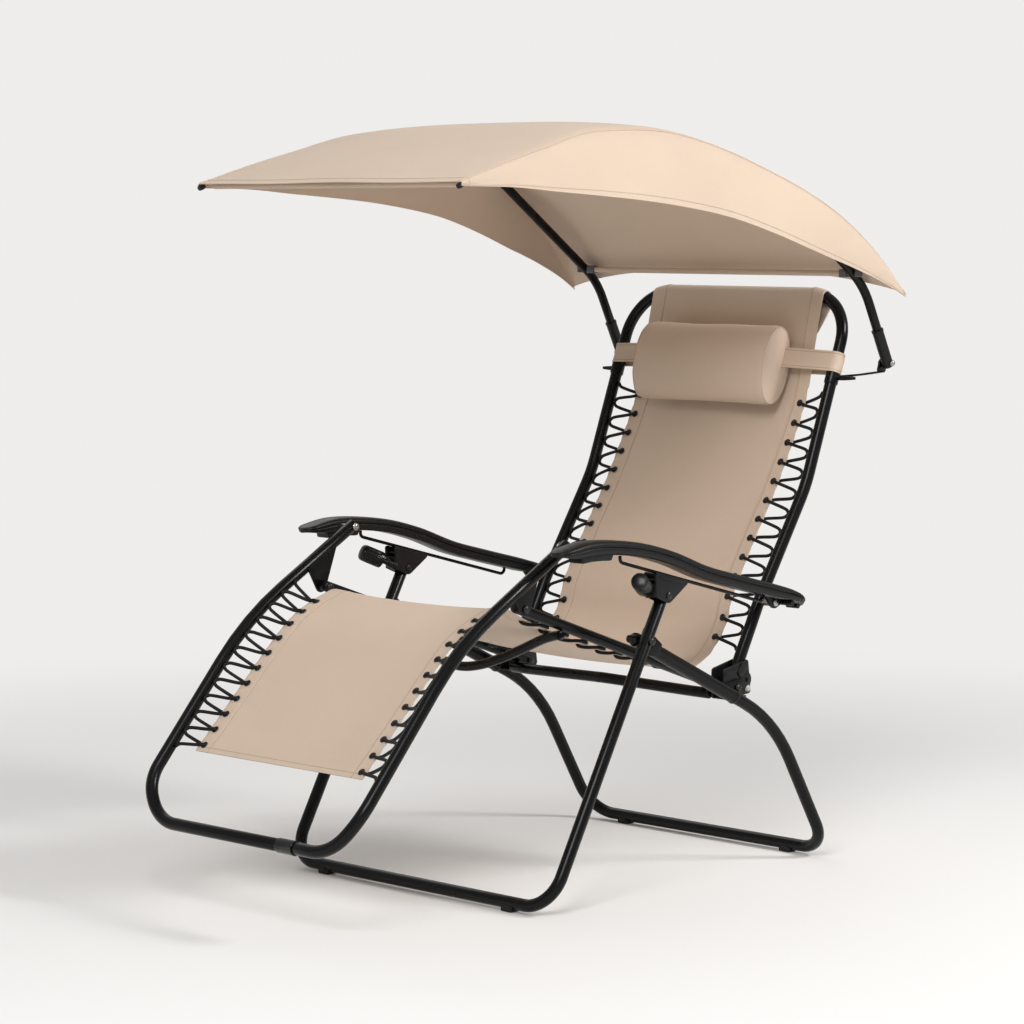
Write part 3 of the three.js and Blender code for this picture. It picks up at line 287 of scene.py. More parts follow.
def evenly(line, count):
    """The same line as evenly spaced points"""
    travelled = [0.0]
    for a, b in zip(line, line[1:]):
        travelled.append(travelled[-1] + math.dist(a, b))
    spaced = []
    j = 0
    for n in range(count):
        target = travelled[-1] * n / (count - 1)
        while j < len(line) - 2 and travelled[j + 1] < target:
            j += 1
        share = (target - travelled[j]) / max(1e-9, travelled[j + 1] - travelled[j])
        spaced.append(tuple(a + (b - a) * share for a, b in zip(line[j], line[j + 1])))
    return spaced


def length_of(line):
    return sum(math.dist(a, b) for a, b in zip(line, line[1:]))


def hull(circles):
    """The convex outline round circles given as side-view centre and radius"""
    steps = 10
    dots = sorted((y + r * math.cos(math.pi * n / steps), z + r * math.sin(math.pi * n / steps))
                  for y, z, r in circles for n in range(2 * steps))

    def chain(run):
        line = []
        for dot in run:
            while len(line) > 1 and ((line[-1][0] - line[-2][0]) * (dot[1] - line[-2][1])
                                     - (line[-1][1] - line[-2][1]) * (dot[0] - line[-2][0])) <= 1e-9:
                line.pop()
            line.append(dot)
        return line[:-1]

    return chain(dots) + chain(dots[::-1])


# Modelling

def fresh():
    """Nothing selected, object mode"""
    if bpy.context.object and bpy.context.object.mode != "OBJECT":
        bpy.ops.object.mode_set(mode="OBJECT")
    bpy.ops.object.select_all(action="DESELECT")


def pick(piece):
    """Only this piece selected and active"""
    fresh()
    piece.select_set(True)
    bpy.context.view_layer.objects.active = piece


def name_piece(piece, name):
    piece.name = name
    piece.data.name = name
    return piece


def copy_of(piece):
    """A second piece with its own mesh"""
    copy = piece.copy()
    copy.data = piece.data.copy()
    bpy.context.scene.collection.objects.link(copy)
    return copy


def mend(merge=0.0):
    """Merges the active piece's points that lie within a distance, and turns its faces outwards"""
    bpy.ops.object.mode_set(mode="EDIT")
    bpy.ops.mesh.select_all(action="SELECT")
    if merge:
        bpy.ops.mesh.remove_doubles(threshold=merge)
    bpy.ops.mesh.normals_make_consistent(inside=False)
    bpy.ops.object.mode_set(mode="OBJECT")


def stand(piece, start, direction):
    """Turns a piece made along z to a direction, and moves it to a point"""
    turn = Vector((0, 0, 1)).rotation_difference(direction.normalized())
    piece.data.transform(Matrix.Translation(start) @ turn.to_matrix().to_4x4())


def use_modifier(piece, kind, **settings):
    bpy.context.view_layer.objects.active = piece
    modifier = piece.modifiers.new(kind.title(), kind)
    for key, value in settings.items():
        setattr(modifier, key, value)
    bpy.ops.object.modifier_apply(modifier=modifier.name)


def smoothed(piece, angle=40):
    pick(piece)
    bpy.ops.object.shade_smooth_by_angle(angle=math.radians(angle))
    return piece


def bevelled(piece, width):
    use_modifier(piece, "BEVEL", width=width / 1000, segments=3, limit_method="ANGLE",
                 angle_limit=math.radians(35), harden_normals=False)
    return smoothed(piece)


def tube(name, path, diameter, sides=20, rounded=True):
    """A tube along points in metres, with softly rounded ends"""
    fresh()
    bpy.ops.curve.primitive_nurbs_path_add()
    piece = name_piece(bpy.context.object, name)
    piece.location = (0, 0, 0)
    radius = diameter / 2
    stations = [(place, 1.0) for place in path]
    if rounded:
        head = (path[1] - path[0]).normalized()
        tail = (path[-2] - path[-1]).normalized()
        soft = [(0.0, 0.72), (0.12, 0.9), (0.3, 1.0)]
        stations = ([(path[0] + head * radius * step, size) for step, size in soft] + stations[1:-1]
                    + [(path[-1] + tail * radius * step, size) for step, size in soft[::-1]])
    piece.data.splines.clear()
    spline = piece.data.splines.new("POLY")
    spline.points.add(len(stations) - 1)
    for point, (place, size) in zip(spline.points, stations):
        point.co = (*place, 1)
        point.radius = size
    piece.data.dimensions = "3D"
    piece.data.twist_mode = "MINIMUM"
    piece.data.bevel_depth = radius
    piece.data.bevel_resolution = (sides - 4) // 2
    piece.data.use_fill_caps = True
    bpy.ops.object.convert(target="MESH")
    mend(1e-6)
    return smoothed(bpy.context.object, 50)


def extruded(name, corners, step, edge):
    """A flat outline drawn out by a step, both in metres, with softened edges"""
    fresh()
    bpy.ops.mesh.primitive_circle_add(vertices=len(corners), radius=1, fill_type="NGON")
    piece = name_piece(bpy.context.object, name)
    for vertex, corner in zip(piece.data.vertices, corners):
        vertex.co = corner
    bpy.ops.object.mode_set(mode="EDIT")
    bpy.ops.mesh.select_all(action="SELECT")
    bpy.ops.mesh.extrude_region_move(TRANSFORM_OT_translate={"value": step})
    mend()
    return bevelled(piece, edge)


def plate(name, outline, x0, x1, edge=0.8):
    """A flat plate in side view from lane x0 to lane x1"""
    return extruded(name, [spot(x0, y, z) for y, z in outline], ((x1 - x0) / 1000, 0, 0), edge)


def block(name, lowest, highest, edge=1.0):
    """A moulded block between two corners in millimetres, with softened edges"""
    fresh()
    bpy.ops.mesh.primitive_cube_add(size=1)
    piece = name_piece(bpy.context.object, name)
    a = spot(*lowest)
    b = spot(*highest)
    bpy.ops.object.mode_set(mode="EDIT")
    bpy.ops.mesh.select_all(action="SELECT")
    bpy.ops.transform.resize(value=tuple(b - a))
    bpy.ops.transform.translate(value=tuple((a + b) / 2))
    bpy.ops.object.mode_set(mode="OBJECT")
    return bevelled(piece, edge)


def turned(name, profile, start, direction, steps=32):
    """A turned piece: pairs of radius and distance in millimetres, along a direction from a start point"""
    fresh()
    bpy.ops.mesh.primitive_circle_add(vertices=len(profile), radius=1, fill_type="NOTHING")
    piece = name_piece(bpy.context.object, name)
    bpy.ops.object.mode_set(mode="EDIT")
    mesh = bmesh.from_edit_mesh(piece.data)
    mesh.verts.ensure_lookup_table()
    for vertex, (radius, distance) in zip(mesh.verts, profile):
        vertex.co = (radius / 1000, 0, distance / 1000)
        vertex.select = False
    for edge in mesh.edges:
        edge.select = all(abs(vertex.co.x) < 1e-9 for vertex in edge.verts)
    bmesh.update_edit_mesh(piece.data)
    bpy.ops.mesh.delete(type="EDGE")
    bpy.ops.mesh.select_all(action="SELECT")
    bpy.ops.mesh.spin(steps=steps, dupli=False, angle=2 * math.pi, center=(0, 0, 0), axis=(0, 0, 1))
    mend(1e-6)
    stand(piece, start, direction)
    return smoothed(piece, 35)


def sheet_grid(name, rows):
    """An open grid whose rows are lists of points in metres, with a map in metres along both ways"""
    fresh()
    columns = len(rows[0])
    bpy.ops.mesh.primitive_grid_add(x_subdivisions=columns - 1, y_subdivisions=len(rows) - 1, size=1)
    piece = name_piece(bpy.context.object, name)
    flat = [place for row in rows for place in row]
    for vertex, place in zip(piece.data.vertices, flat):
        vertex.co = place
    across = [0.0]
    middle = rows[len(rows) // 2]
    for a, b in zip(middle, middle[1:]):
        across.append(across[-1] + (b - a).length)
    down = [0.0]
    for a, b in zip(rows, rows[1:]):
        down.append(down[-1] + (b[columns // 2] - a[columns // 2]).length)
    layer = piece.data.uv_layers.active
    for loop in piece.data.loops:
        layer.data[loop.index].uv = (across[loop.vertex_index % columns], down[loop.vertex_index // columns])
    layer.name = "Cloth"
    return piece


def loft(name, rings):
    """A closed skin over rings of points in metres, with its two ends filled"""
    count = len(rings[0])
    piece = sheet_grid(name, [list(ring) + [ring[0]] for ring in rings])
    bpy.ops.object.mode_set(mode="EDIT")
    bpy.ops.mesh.select_all(action="SELECT")
    bpy.ops.mesh.remove_doubles(threshold=1e-7)
    bpy.ops.mesh.fill_holes(sides=2 * count)
    mend()
    return smoothed(piece)


def joined(name, pieces):
    fresh()
    for piece in pieces:
        piece.select_set(True)
    bpy.context.view_layer.objects.active = pieces[0]
    bpy.ops.object.join()
    return name_piece(bpy.context.object, name)


def other_side(piece, name):
    """A mirrored copy for the right side, with its own mesh"""
    copy = copy_of(piece)
    copy.data.transform(Matrix.Scale(-1, 4, (1, 0, 0)))
    copy.data.flip_normals()
    return name_piece(copy, name)


# Materials

def make_node(tree, kind, values=None, **settings):
    """A node with its settings, and for its input sockets a plain value or another node's output"""
    node = tree.nodes.new(kind)
    for key, value in settings.items():
        setattr(node, key, value)
    for key, value in (values or {}).items():
        if isinstance(value, bpy.types.NodeSocket):
            tree.links.new(value, node.inputs[key])
        else:
            node.inputs[key].default_value = value
    return node


def new_finish(name, colour, roughness, **values):
    """A material with its shader set, its tree and its shader node"""
    finish = bpy.data.materials.new(name)
    finish.use_nodes = True
    tree = finish.node_tree
    shader = tree.nodes["Principled BSDF"]
    shader.inputs["Base Color"].default_value = (*colour, 1)
    shader.inputs["Roughness"].default_value = roughness
    for key, value in values.items():
        shader.inputs[key.replace("_", " ").title().replace("Ior", "IOR")].default_value = value
    return finish, tree, shader


def add_bump(tree, shader, height, strength, distance):
    bump = make_node(tree, "ShaderNodeBump", {"Strength": strength, "Distance": distance, "Height": height})
    tree.links.new(bump.outputs["Normal"], shader.inputs["Normal"])


def add_range(tree, source, low_value, high_value):
    values = {"Value": source, "To Min": low_value, "To Max": high_value}
    return make_node(tree, "ShaderNodeMapRange", values).outputs["Result"]


def add_noise(tree, place, scale, detail=3.0):
    values = {"Vector": place, "Scale": scale, "Detail": detail}
    return make_node(tree, "ShaderNodeTexNoise", values).outputs["Fac"]


def add_maths(tree, operation, *values):
    return make_node(tree, "ShaderNodeMath", dict(enumerate(values)), operation=operation).outputs[0]


def add_highest(tree, sockets):
    """The highest of several values"""
    total = sockets[0]
    for socket in sockets[1:]:
        total = add_maths(tree, "MAXIMUM", total, socket)
    return total


def add_mix(tree, kind, factor, first, second):
    """A share of each of two numbers or two colours"""
    a, b, result = {"FLOAT": (2, 3, 0), "RGBA": (6, 7, 2)}[kind]
    return make_node(tree, "ShaderNodeMix", {0: factor, a: first, b: second}, data_type=kind).outputs[result]


def add_tint(tree, shader, colour, factor, darker, lighter):
    """Base colour that runs from a darker to a lighter share of one colour"""
    ends = [(*(min(1, c * share) for c in colour), 1) for share in (darker, lighter)]
    tree.links.new(add_mix(tree, "RGBA", factor, *ends), shader.inputs["Base Color"])


def any_ray(tree, *kinds):
    """1 for rays of the given kinds, 0 for all others"""
    path = make_node(tree, "ShaderNodeLightPath")
    return add_highest(tree, [path.outputs[f"Is {kind} Ray"] for kind in kinds])


def object_place(tree):
    return make_node(tree, "ShaderNodeTexCoord").outputs["Object"]


def grained(name, colour, roughness, tint, relief, gloss=None, **values):
    """A finish whose colour, relief and gloss vary with noise, each given by the noise's scale and detail

    These are followed by the darkest and lightest share of the colour, by the relief's strength and depth,
    and by the lowest and highest roughness.
    """
    finish, tree, shader = new_finish(name, colour, roughness, **values)
    place = object_place(tree)
    if gloss:
        uneven = add_range(tree, add_noise(tree, place, *gloss[:2]), *gloss[2:])
        tree.links.new(uneven, shader.inputs["Roughness"])
    add_tint(tree, shader, colour, add_noise(tree, place, *tint[:2]), *tint[2:])
    add_bump(tree, shader, add_noise(tree, place, *relief[:2]), *relief[2:])
    return finish


def powder_paint():
    """Satin powder coat: a faint orange peel and an uneven sheen"""
    return grained("powder_paint", tuple(colours().paint), 0.26, (60, 3, 0.75, 1.35), (620, 2, 0.12, 0.0003),
                   (22, 4, 0.2, 0.32), specular_ior_level=0.2)


def moulded_plastic(name, roughness, grain):
    """Moulded plastic: fine spark grain, slightly uneven gloss, faint scuffs"""
    return grained(name, tuple(colours().plastic), roughness, (90, 4, 0.7, 1.4), (1500, 2, grain, 0.0003),
                   (35, 5, roughness - 0.06, roughness + 0.08), specular_ior_level=0.26)


def foot_rubber():
    return grained("foot_rubber", (0.008, 0.008, 0.008), 0.7, (120, 4, 0.6, 2.0), (900, 3, 0.25, 0.0004),
                   specular_ior_level=0.3)


def braided_cord():
    """Elastic cord with a braided sleeve"""
    colour = (0.003, 0.003, 0.003)
    finish, tree, shader = new_finish("braided_cord", colour, 0.55, specular_ior_level=0.3)
    place = object_place(tree)
    strands = []
    for turn in (math.radians(45), math.radians(-45)):
        mapping = make_node(tree, "ShaderNodeMapping", {"Vector": place, "Rotation": (turn, turn, 0)})
        values = {"Vector": mapping.outputs["Vector"], "Scale": 190, "Distortion": 1.0}
        strands.append(make_node(tree, "ShaderNodeTexWave", values, bands_direction="Y").outputs["Fac"])
    braid = add_maths(tree, "MULTIPLY", *strands)
    add_tint(tree, shader, colour, braid, 0.6, 2.2)
    add_bump(tree, shader, braid, 0.4, 0.0004)
    return finish


def stitch_and_fold_shade_lines(tree, cloth, lines):
    """1 on the sewn rows that run along a cloth at distances across it or along it, 0 elsewhere; the cloth is
    painted darker there as thread and as painted shade of the hem folds
    """
    half_width = 0.0008
    parts = make_node(tree, "ShaderNodeSeparateXYZ", {0: cloth})
    return add_highest(tree, [add_maths(tree, "COMPARE", parts.outputs[axis], distance, half_width)
                              for axis, distance in lines])


def woven_cloth(name="woven_cloth", shade=1.0, lines=()):
    """Plain-woven polyester: warp and weft threads over and under, and sewn rows painted darker as thread and
    as painted shade of the hem folds, on the cloth's own map
    """
    colour = tuple(c * shade for c in colours().fabric)
    finish, tree, shader = new_finish(name, colour, 0.82, specular_ior_level=0.2, sheen_weight=0.12,
                                      sheen_roughness=0.45)
    cloth = make_node(tree, "ShaderNodeUVMap", uv_map="Cloth").outputs["UV"]
    pitch = sizes().weave
    values = {"Vector": cloth, "Scale": 2 * math.pi / 20 / pitch, "Distortion": 0.6, "Detail Scale": 2.0}
    warp, weft = (make_node(tree, "ShaderNodeTexWave", values, bands_direction=direction).outputs["Fac"]
                  for direction in ("X", "Y"))
    over = make_node(tree, "ShaderNodeTexChecker", {"Vector": cloth, "Scale": 1 / pitch}).outputs["Fac"]
    weave = add_mix(tree, "FLOAT", over, warp, weft)
    tone = add_maths(tree, "MULTIPLY", add_noise(tree, object_place(tree), 5, 4), 0.35)
    tone = add_maths(tree, "MULTIPLY_ADD", add_noise(tree, cloth, 420, 4), 0.4, tone)
    tone = add_maths(tree, "MULTIPLY_ADD", weave, 0.34, tone)
    add_tint(tree, shader, colour, tone, 0.78, 1.19)
    if lines:
        sewn = stitch_and_fold_shade_lines(tree, cloth, lines)
        plain = shader.inputs["Base Color"].links[0].from_socket
        # the sewn rows' darker colour: thread, and painted shade of the hem folds
        thread = (colour[0] * 0.72, colour[1] * 0.66, colour[2] * 0.6, 1)
        tree.links.new(add_mix(tree, "RGBA", sewn, plain, thread), shader.inputs["Base Color"])
        add_bump(tree, shader, add_maths(tree, "SUBTRACT", weave, sewn), 0.4, 0.0006)
    else:
        add_bump(tree, shader, weave, 0.35, 0.0004)
    return finish


def zinc_plate():
    """Zinc-plated steel with a drawn grain"""
    colour = (0.42, 0.42, 0.41)
    finish, tree, shader = new_finish("zinc_plate", colour, 0.3, metallic=1.0)
    place = object_place(tree)
    mapping = make_node(tree, "ShaderNodeMapping", {"Vector": place, "Scale": (40, 900, 900)})
    grain = add_noise(tree, mapping.outputs["Vector"], 1.0, 4)
    tree.links.new(add_range(tree, grain, 0.22, 0.42), shader.inputs["Roughness"])
    add_tint(tree, shader, colour, add_noise(tree, place, 80), 0.75, 1.15)
    add_bump(tree, shader, grain, 0.1, 0.0002)
    return finish


def sling_rows():
    """Where the sling is sewn and painted darker, as thread and as painted shade of the hem folds: both side
    hems and the lower hem
    """
    width = 2 * SLING_HALF / 1000
    hem = sizes().hem
    return ((0, hem - 0.003), (0, width - hem + 0.003), (1, 0.010))


def black_steel():
    """Blackened steel of the bolts"""
    return grained("black_steel", (0.045, 0.045, 0.044), 0.35, (110, 3, 0.7, 1.5), (800, 3, 0.12, 0.0002),
                   (60, 4, 0.28, 0.45), metallic=1.0)


def sewing_thread():
    colour = tuple(c * 0.8 for c in colours().fabric)
    finish, tree, shader = new_finish("sewing_thread", colour, 0.7, sheen_weight=0.2)
    wave = make_node(tree, "ShaderNodeTexWave", {"Vector": object_place(tree), "Scale": 400},
                     bands_direction="DIAGONAL").outputs["Fac"]
    add_tint(tree, shader, colour, wave, 0.8, 1.2)
    add_bump(tree, shader, wave, 0.3, 0.0002)
    return finish


def pale_plastic(name, colour, cloudy):
    """Smooth lighter plastic: the milky end caps and the grey batten clips"""
    return grained(name, colour, 0.35, (150, 3, 0.85, 1.1), (900, 3, 0.1, 0.0002), subsurface_weight=cloudy)


finishes = {}


def finish_of(name):
    """Each material is made once, when a piece first asks for it"""
    makers = {
        "satin_black_paint": powder_paint,
        "black_plastic": lambda: moulded_plastic("moulded_plastic", 0.34, 0.16),
        "knob_plastic": lambda: moulded_plastic("knob_plastic", 0.22, 0.05),
        "cap_plastic": lambda: pale_plastic("cap_plastic", (0.45, 0.45, 0.43), 0.2),
        "clip_plastic": lambda: pale_plastic("clip_plastic", (0.085, 0.087, 0.092), 0.0),
        "rubber": foot_rubber,
        "elastic_cord": braided_cord,
        "beige_fabric": woven_cloth,
        "hem_fabric": lambda: woven_cloth("hem_cloth", 0.93),
        "sling_fabric": lambda: woven_cloth("sling_cloth", 1.0, sling_rows()),
        "band_fabric": lambda: woven_cloth("band_cloth", 0.95, ((0, 0.004), (0, 0.034))),
        "blackened_steel": black_steel,
        "zinc_steel": zinc_plate,
        "thread": sewing_thread,
    }
    if name not in finishes:
        finishes[name] = makers[name]()
    return finishes[name]


def settle(piece, body, finish, *replaced):
    """Gives a piece its finish, its body if one is named, and hides the frame nodes that it stands for"""
    piece.data.materials.clear()
    piece.data.materials.append(finish_of(finish))
    if replaced:
        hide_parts(*replaced)
    if body:
        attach(piece, body)
    return piece


def settle_pair(piece, bodies, finish, node=None):
    """The left piece and its mirrored copy, each standing for its own side's node"""
    name = piece.name
    right = other_side(piece, f"{name}_right")
    name_piece(piece, f"{name}_left")
    owners = bodies if isinstance(bodies, tuple) else (bodies, bodies)
    for side, owner, half in (("left", owners[0], piece), ("right", owners[1], right)):
        settle(half, owner, finish, *([f"{node}_{side}"] if node else []))
    return piece, right


# Shared shapes

def both_sides(corners):
    """A run of corners for the left side, across to its mirror on the right side"""
    mirrored = [(Vector((-corner.x, corner.y, corner.z)), radius) for corner, radius in reversed(corners)]
    return bent_path(corners + mirrored)


def bolt(name, place, inner, outer, shaft=4.0, head=7.0, thick=3.6, dome=1.6):
    """A bolt across the chair at a side-view place, with a domed head at each end"""
    length = outer - inner
    profile = [(0, -dome), (head * 0.45, -dome * 0.85), (head * 0.8, -dome * 0.3), (head, thick * 0.35),
               (head, thick * 0.85), (head - 0.4, thick), (shaft, thick), (shaft, length - thick),
               (head - 0.4, length - thick), (head, length - thick * 0.85), (head, length - thick * 0.35),
               (head * 0.8, length + dome * 0.3), (head * 0.45, length + dome * 0.85), (0, length + dome)]
    return turned(name, profile, at(inner, place), Vector((1, 0, 0)), 24)


# The side-view line of the whole sling

def sling_line():
    """Side-view points of the sling from its lower edge up to the top bar, and those round the bar"""
    foot = FOOT_LINE[:-1] + SEAT_LINE[:-1] + BACK_LINE
    reach = math.dist(foot[-1], BACK_TOP)
    lean = math.atan2(foot[-1][1] - BACK_TOP[1], foot[-1][0] - BACK_TOP[0]) + 2 * math.pi
    start = lean - math.acos(WRAP_RADIUS / reach)
    tangent = (BACK_TOP[0] + WRAP_RADIUS * math.cos(start), BACK_TOP[1] + WRAP_RADIUS * math.sin(start))
    middle = tuple((a + b) / 2 for a, b in zip(foot[-1], tangent))
    smooth = smooth_line(foot + [middle, tangent], 260)
    wrap = [(BACK_TOP[0] + WRAP_RADIUS * math.cos(start * (1 - i / 14)),
             BACK_TOP[1] + WRAP_RADIUS * math.sin(start * (1 - i / 14))) for i in range(1, 15)]
    drop = [(BACK_TOP[0] + WRAP_RADIUS - 0.6 * n, BACK_TOP[1] - 8.0 * n) for n in range(1, 3)]
    meet = (tangent[0] - 66 * 0.2526 + 1.6, tangent[1] - 66)
    flap = [tuple(a + (b - a) * n / 6 for a, b in zip(drop[-1], meet)) for n in range(1, 7)]
    return smooth, wrap + drop + flap


def place_on(line, distance):
    """The side-view point at a distance along a line, and its direction"""
    left = distance
    for i, (a, b) in enumerate(zip(line, line[1:])):
        step = math.dist(a, b)
        if left <= step or i == len(line) - 2:
            share = left / step
            return tuple(p + (q - p) * share for p, q in zip(a, b)), unit(a, b)
        left -= step
    raise RuntimeError("the line has no length")


def distance_on(line, place):
    """How far along a line its nearest point to a place lies"""
    best = (1e9, 0.0)
    travelled = 0.0
    for a, b in zip(line, line[1:]):
        step = math.dist(a, b)
        share = ((place[0] - a[0]) * (b[0] - a[0]) + (place[1] - a[1]) * (b[1] - a[1])) / step ** 2
        share = min(1, max(0, share))
        gap = math.dist(place, tuple(p + (q - p) * share for p, q in zip(a, b)))
        best = min(best, (gap, travelled + share * step))
        travelled += step
    return best[1]


def eyelets_of(panel):
    """Distances of a panel's eyelets along the whole sling, and their pitch"""
    line, start, end, loops = LACES[panel]
    pitch = (length_of(line) - start - end) / (loops - 1)
    whole = sling_line()[0]
    return [distance_on(whole, place_on(line, start + i * pitch)[0]) for i in range(loops)], pitch


# Operators, one for each piece or group of like pieces

class LOUNGER_OT_stage(bpy.types.Operator):
    """Camera, pale floor and soft studio light"""
    bl_idname = "lounger.stage"
    bl_label = "Stage"

    def execute(self, context):
        fresh()
        bpy.ops.object.camera_add(location=CAMERA_PLACE)
        camera = context.object
        camera.name = "photo_camera"
        self.aim(camera, CAMERA_TARGET)
        camera.data.lens = CAMERA_LENS
        camera.data.sensor_width = 36
        camera.data.clip_end = 60
        context.scene.camera = camera
        self.floor()
        for name, place, size, power in (("key_lamp", (3.0, 1.6, 2.9), 0.9, 86),
                                         ("fill_lamp", (2.5, -3.9, 3.9), 2.2, 158),
                                         ("far_lamp", (-3.6, 1.8, 3.6), 2.6, 24)):
            self.lamp(name, place, size, power)
        self.sky(context)
        context.scene.view_settings.view_transform = "Standard"
        return {"FINISHED"}

    def aim(self, thing, target):
        thing.rotation_euler = (Vector(target) - thing.location).to_track_quat("-Z", "Y").to_euler()

    def floor(self):
        """A wide pale floor that fades into the backdrop's colour away from the lounger"""
        bpy.ops.mesh.primitive_circle_add(vertices=96, radius=14, fill_type="NGON", location=(0, 0, 0))
        floor = name_piece(bpy.context.object, "studio_floor")
        colour = tuple(colours().backdrop)
        finish, tree, shader = new_finish("studio_floor", colour, 0.7, specular_ior_level=0.1)
        place = object_place(tree)
        add_tint(tree, shader, colour, add_noise(tree, place, 0.7), 0.99, 1.01)
        away = make_node(tree, "ShaderNodeVectorMath", {0: place}, operation="LENGTH").outputs["Value"]
        fade = make_node(tree, "ShaderNodeMapRange", {"Value": away, "From Min": 1.2, "From Max": 3.4},
                         interpolation_type="SMOOTHSTEP").outputs["Result"]
        amount = add_maths(tree, "MULTIPLY", fade, any_ray(tree, "Camera", "Glossy", "Transmission"))
        glow = make_node(tree, "ShaderNodeEmission", {"Color": BACKDROP_GLOW, "Strength": 1.0})
        mix = make_node(tree, "ShaderNodeMixShader", {0: amount, 1: shader.outputs[0], 2: glow.outputs[0]})
        tree.links.new(mix.outputs[0], tree.nodes["Material Output"].inputs["Surface"])
        floor.data.materials.append(finish)

    def lamp(self, name, place, size, power):
        bpy.ops.object.light_add(type="AREA", location=place)
        lamp = name_piece(bpy.context.object, name)
        lamp.data.size = size
        lamp.data.energy = power
        self.aim(lamp, (0, 0, 0.6))

    def sky(self, context):
        """Soft light from all round, where the camera sees the backdrop's colour instead"""
        world = bpy.data.worlds.new("studio_sky")
        context.scene.world = world
        world.use_nodes = True
        tree = world.node_tree
        light = tree.nodes["Background"]
        light.inputs["Color"].default_value = (1, 0.995, 0.985, 1)
        light.inputs["Strength"].default_value = 0.44
        shown = make_node(tree, "ShaderNodeBackground", {"Color": BACKDROP_GLOW, "Strength": 1.0})
        seen = any_ray(tree, "Camera", "Transmission")
        mix = make_node(tree, "ShaderNodeMixShader", {0: seen, 1: light.outputs[0], 2: shown.outputs[0]})
        tree.links.new(mix.outputs[0], tree.nodes["World Output"].inputs["Surface"])


class LOUNGER_OT_lacing(bpy.types.Operator):
    """Elastic cord laced through the eyelets, out to the tubes and back"""
    bl_idname = "lounger.lacing"
    bl_label = "Elastic Lacing"

    def execute(self, context):
        whole = sling_line()[0]
        for panel, outer in (("foot", self.beside_tube(foot_run(0.0))), ("seat", self.round_rail()),
                             ("back", self.beside_tube(bent_path(back_corners())))):
            spots, pitch = eyelets_of(panel)
            points = []
            for distance in spots:
                points += self.loop(whole, distance, pitch, outer)
            points.append(outer(place_on(whole, spots[-1] + 0.5 * pitch)[0]))
            cord = tube(f"{panel}_cord", curve_through(points, 5), cord_radius() / 500, sides=8)
            settle_pair(cord, panel, "elastic_cord", f"{panel}_lacing")
        return {"FINISHED"}

    def loop(self, whole, distance, pitch, outer):
        """From the tube over the sling's edge, down through the eyelet and back under to the tube"""
        lift = cord_radius() + 1.0
        eyelet = SLING_HALF - EYELET_INSET
        edge = SLING_HALF + cord_radius() + 0.4

        def by(x, share, up):
            place, direction = place_on(whole, distance + share * pitch)
            return at(x, along(place, direction, 0, up))

        def crown(share, near, away):
            return outer(place_on(whole, distance + share * pitch)[0]).lerp(near, away)

        over = by(edge, -0.13, lift + 0.8)
        under = by(edge, 0.13, -lift)
        return [crown(-0.5, over, 0), crown(-0.4, over, 0.05), crown(-0.32, over, 0.24), over,
                by(eyelet + 4, -0.03, lift), by(eyelet - 1.5, 0.0, 0.6), by(eyelet + 3, 0.03, -lift), under,
                crown(0.32, under, 0.24), crown(0.4, under, 0.05)]

    def beside_tube(self, path):
        """Where the cord turns at a tube's inner face, for any side-view place"""
        run = [(p.y * 1000 - DEPTH_SHIFT, p.z * 1000) for p in path]
        lane = BACK_LANE - TUBE_RADIUS - cord_radius() - 0.3
        return lambda place: at(lane, place_on(run, distance_on(run, place))[0])

    def round_rail(self):
        """Where the cord turns round a seat rail, level with it or lower"""
        direction = unit(KNEE, HUB)
        run = [along(KNEE, direction, -10), along(HUB, direction, 10)]
        away = cord_radius() + 10.4

        def reach(place):
            level, _ = place_on(run, distance_on(run, place))
            up = (place[1] - level[1]) * direction[0] - (place[0] - level[0]) * direction[1]
            turn = math.asin(min(1, max(0, -up / away)))
            return at(RAIL_LANE - away * math.cos(turn), along(level, direction, 0, -away * math.sin(turn)))

        return reach


def foot_run(end_x):
    """The foot frame's tube from the arm's front pin down to the foot bar, as far as a lane"""
    lean = unit(FOOT_ELBOW, ARM_FRONT)
    return bent_path([
        (at(BACK_LANE, along(ARM_FRONT, lean, 8)), 0), (at(BACK_LANE, FOOT_ELBOW), 560),
        (at(BACK_LANE, FOOT_TURN), 88), (at(222, FOOT_BAR), 92), (at(end_x, FOOT_BAR), 0)])


def back_corners():
    lean = unit(HUB, ARM_REAR)
    return [(at(BACK_LANE, along(HUB, lean, -8)), 0), (at(BACK_LANE, ARM_REAR), 300),
            (at(BACK_LANE, BACK_ELBOW), 250), (at(BACK_LANE, BACK_TOP), BACK_BEND)]


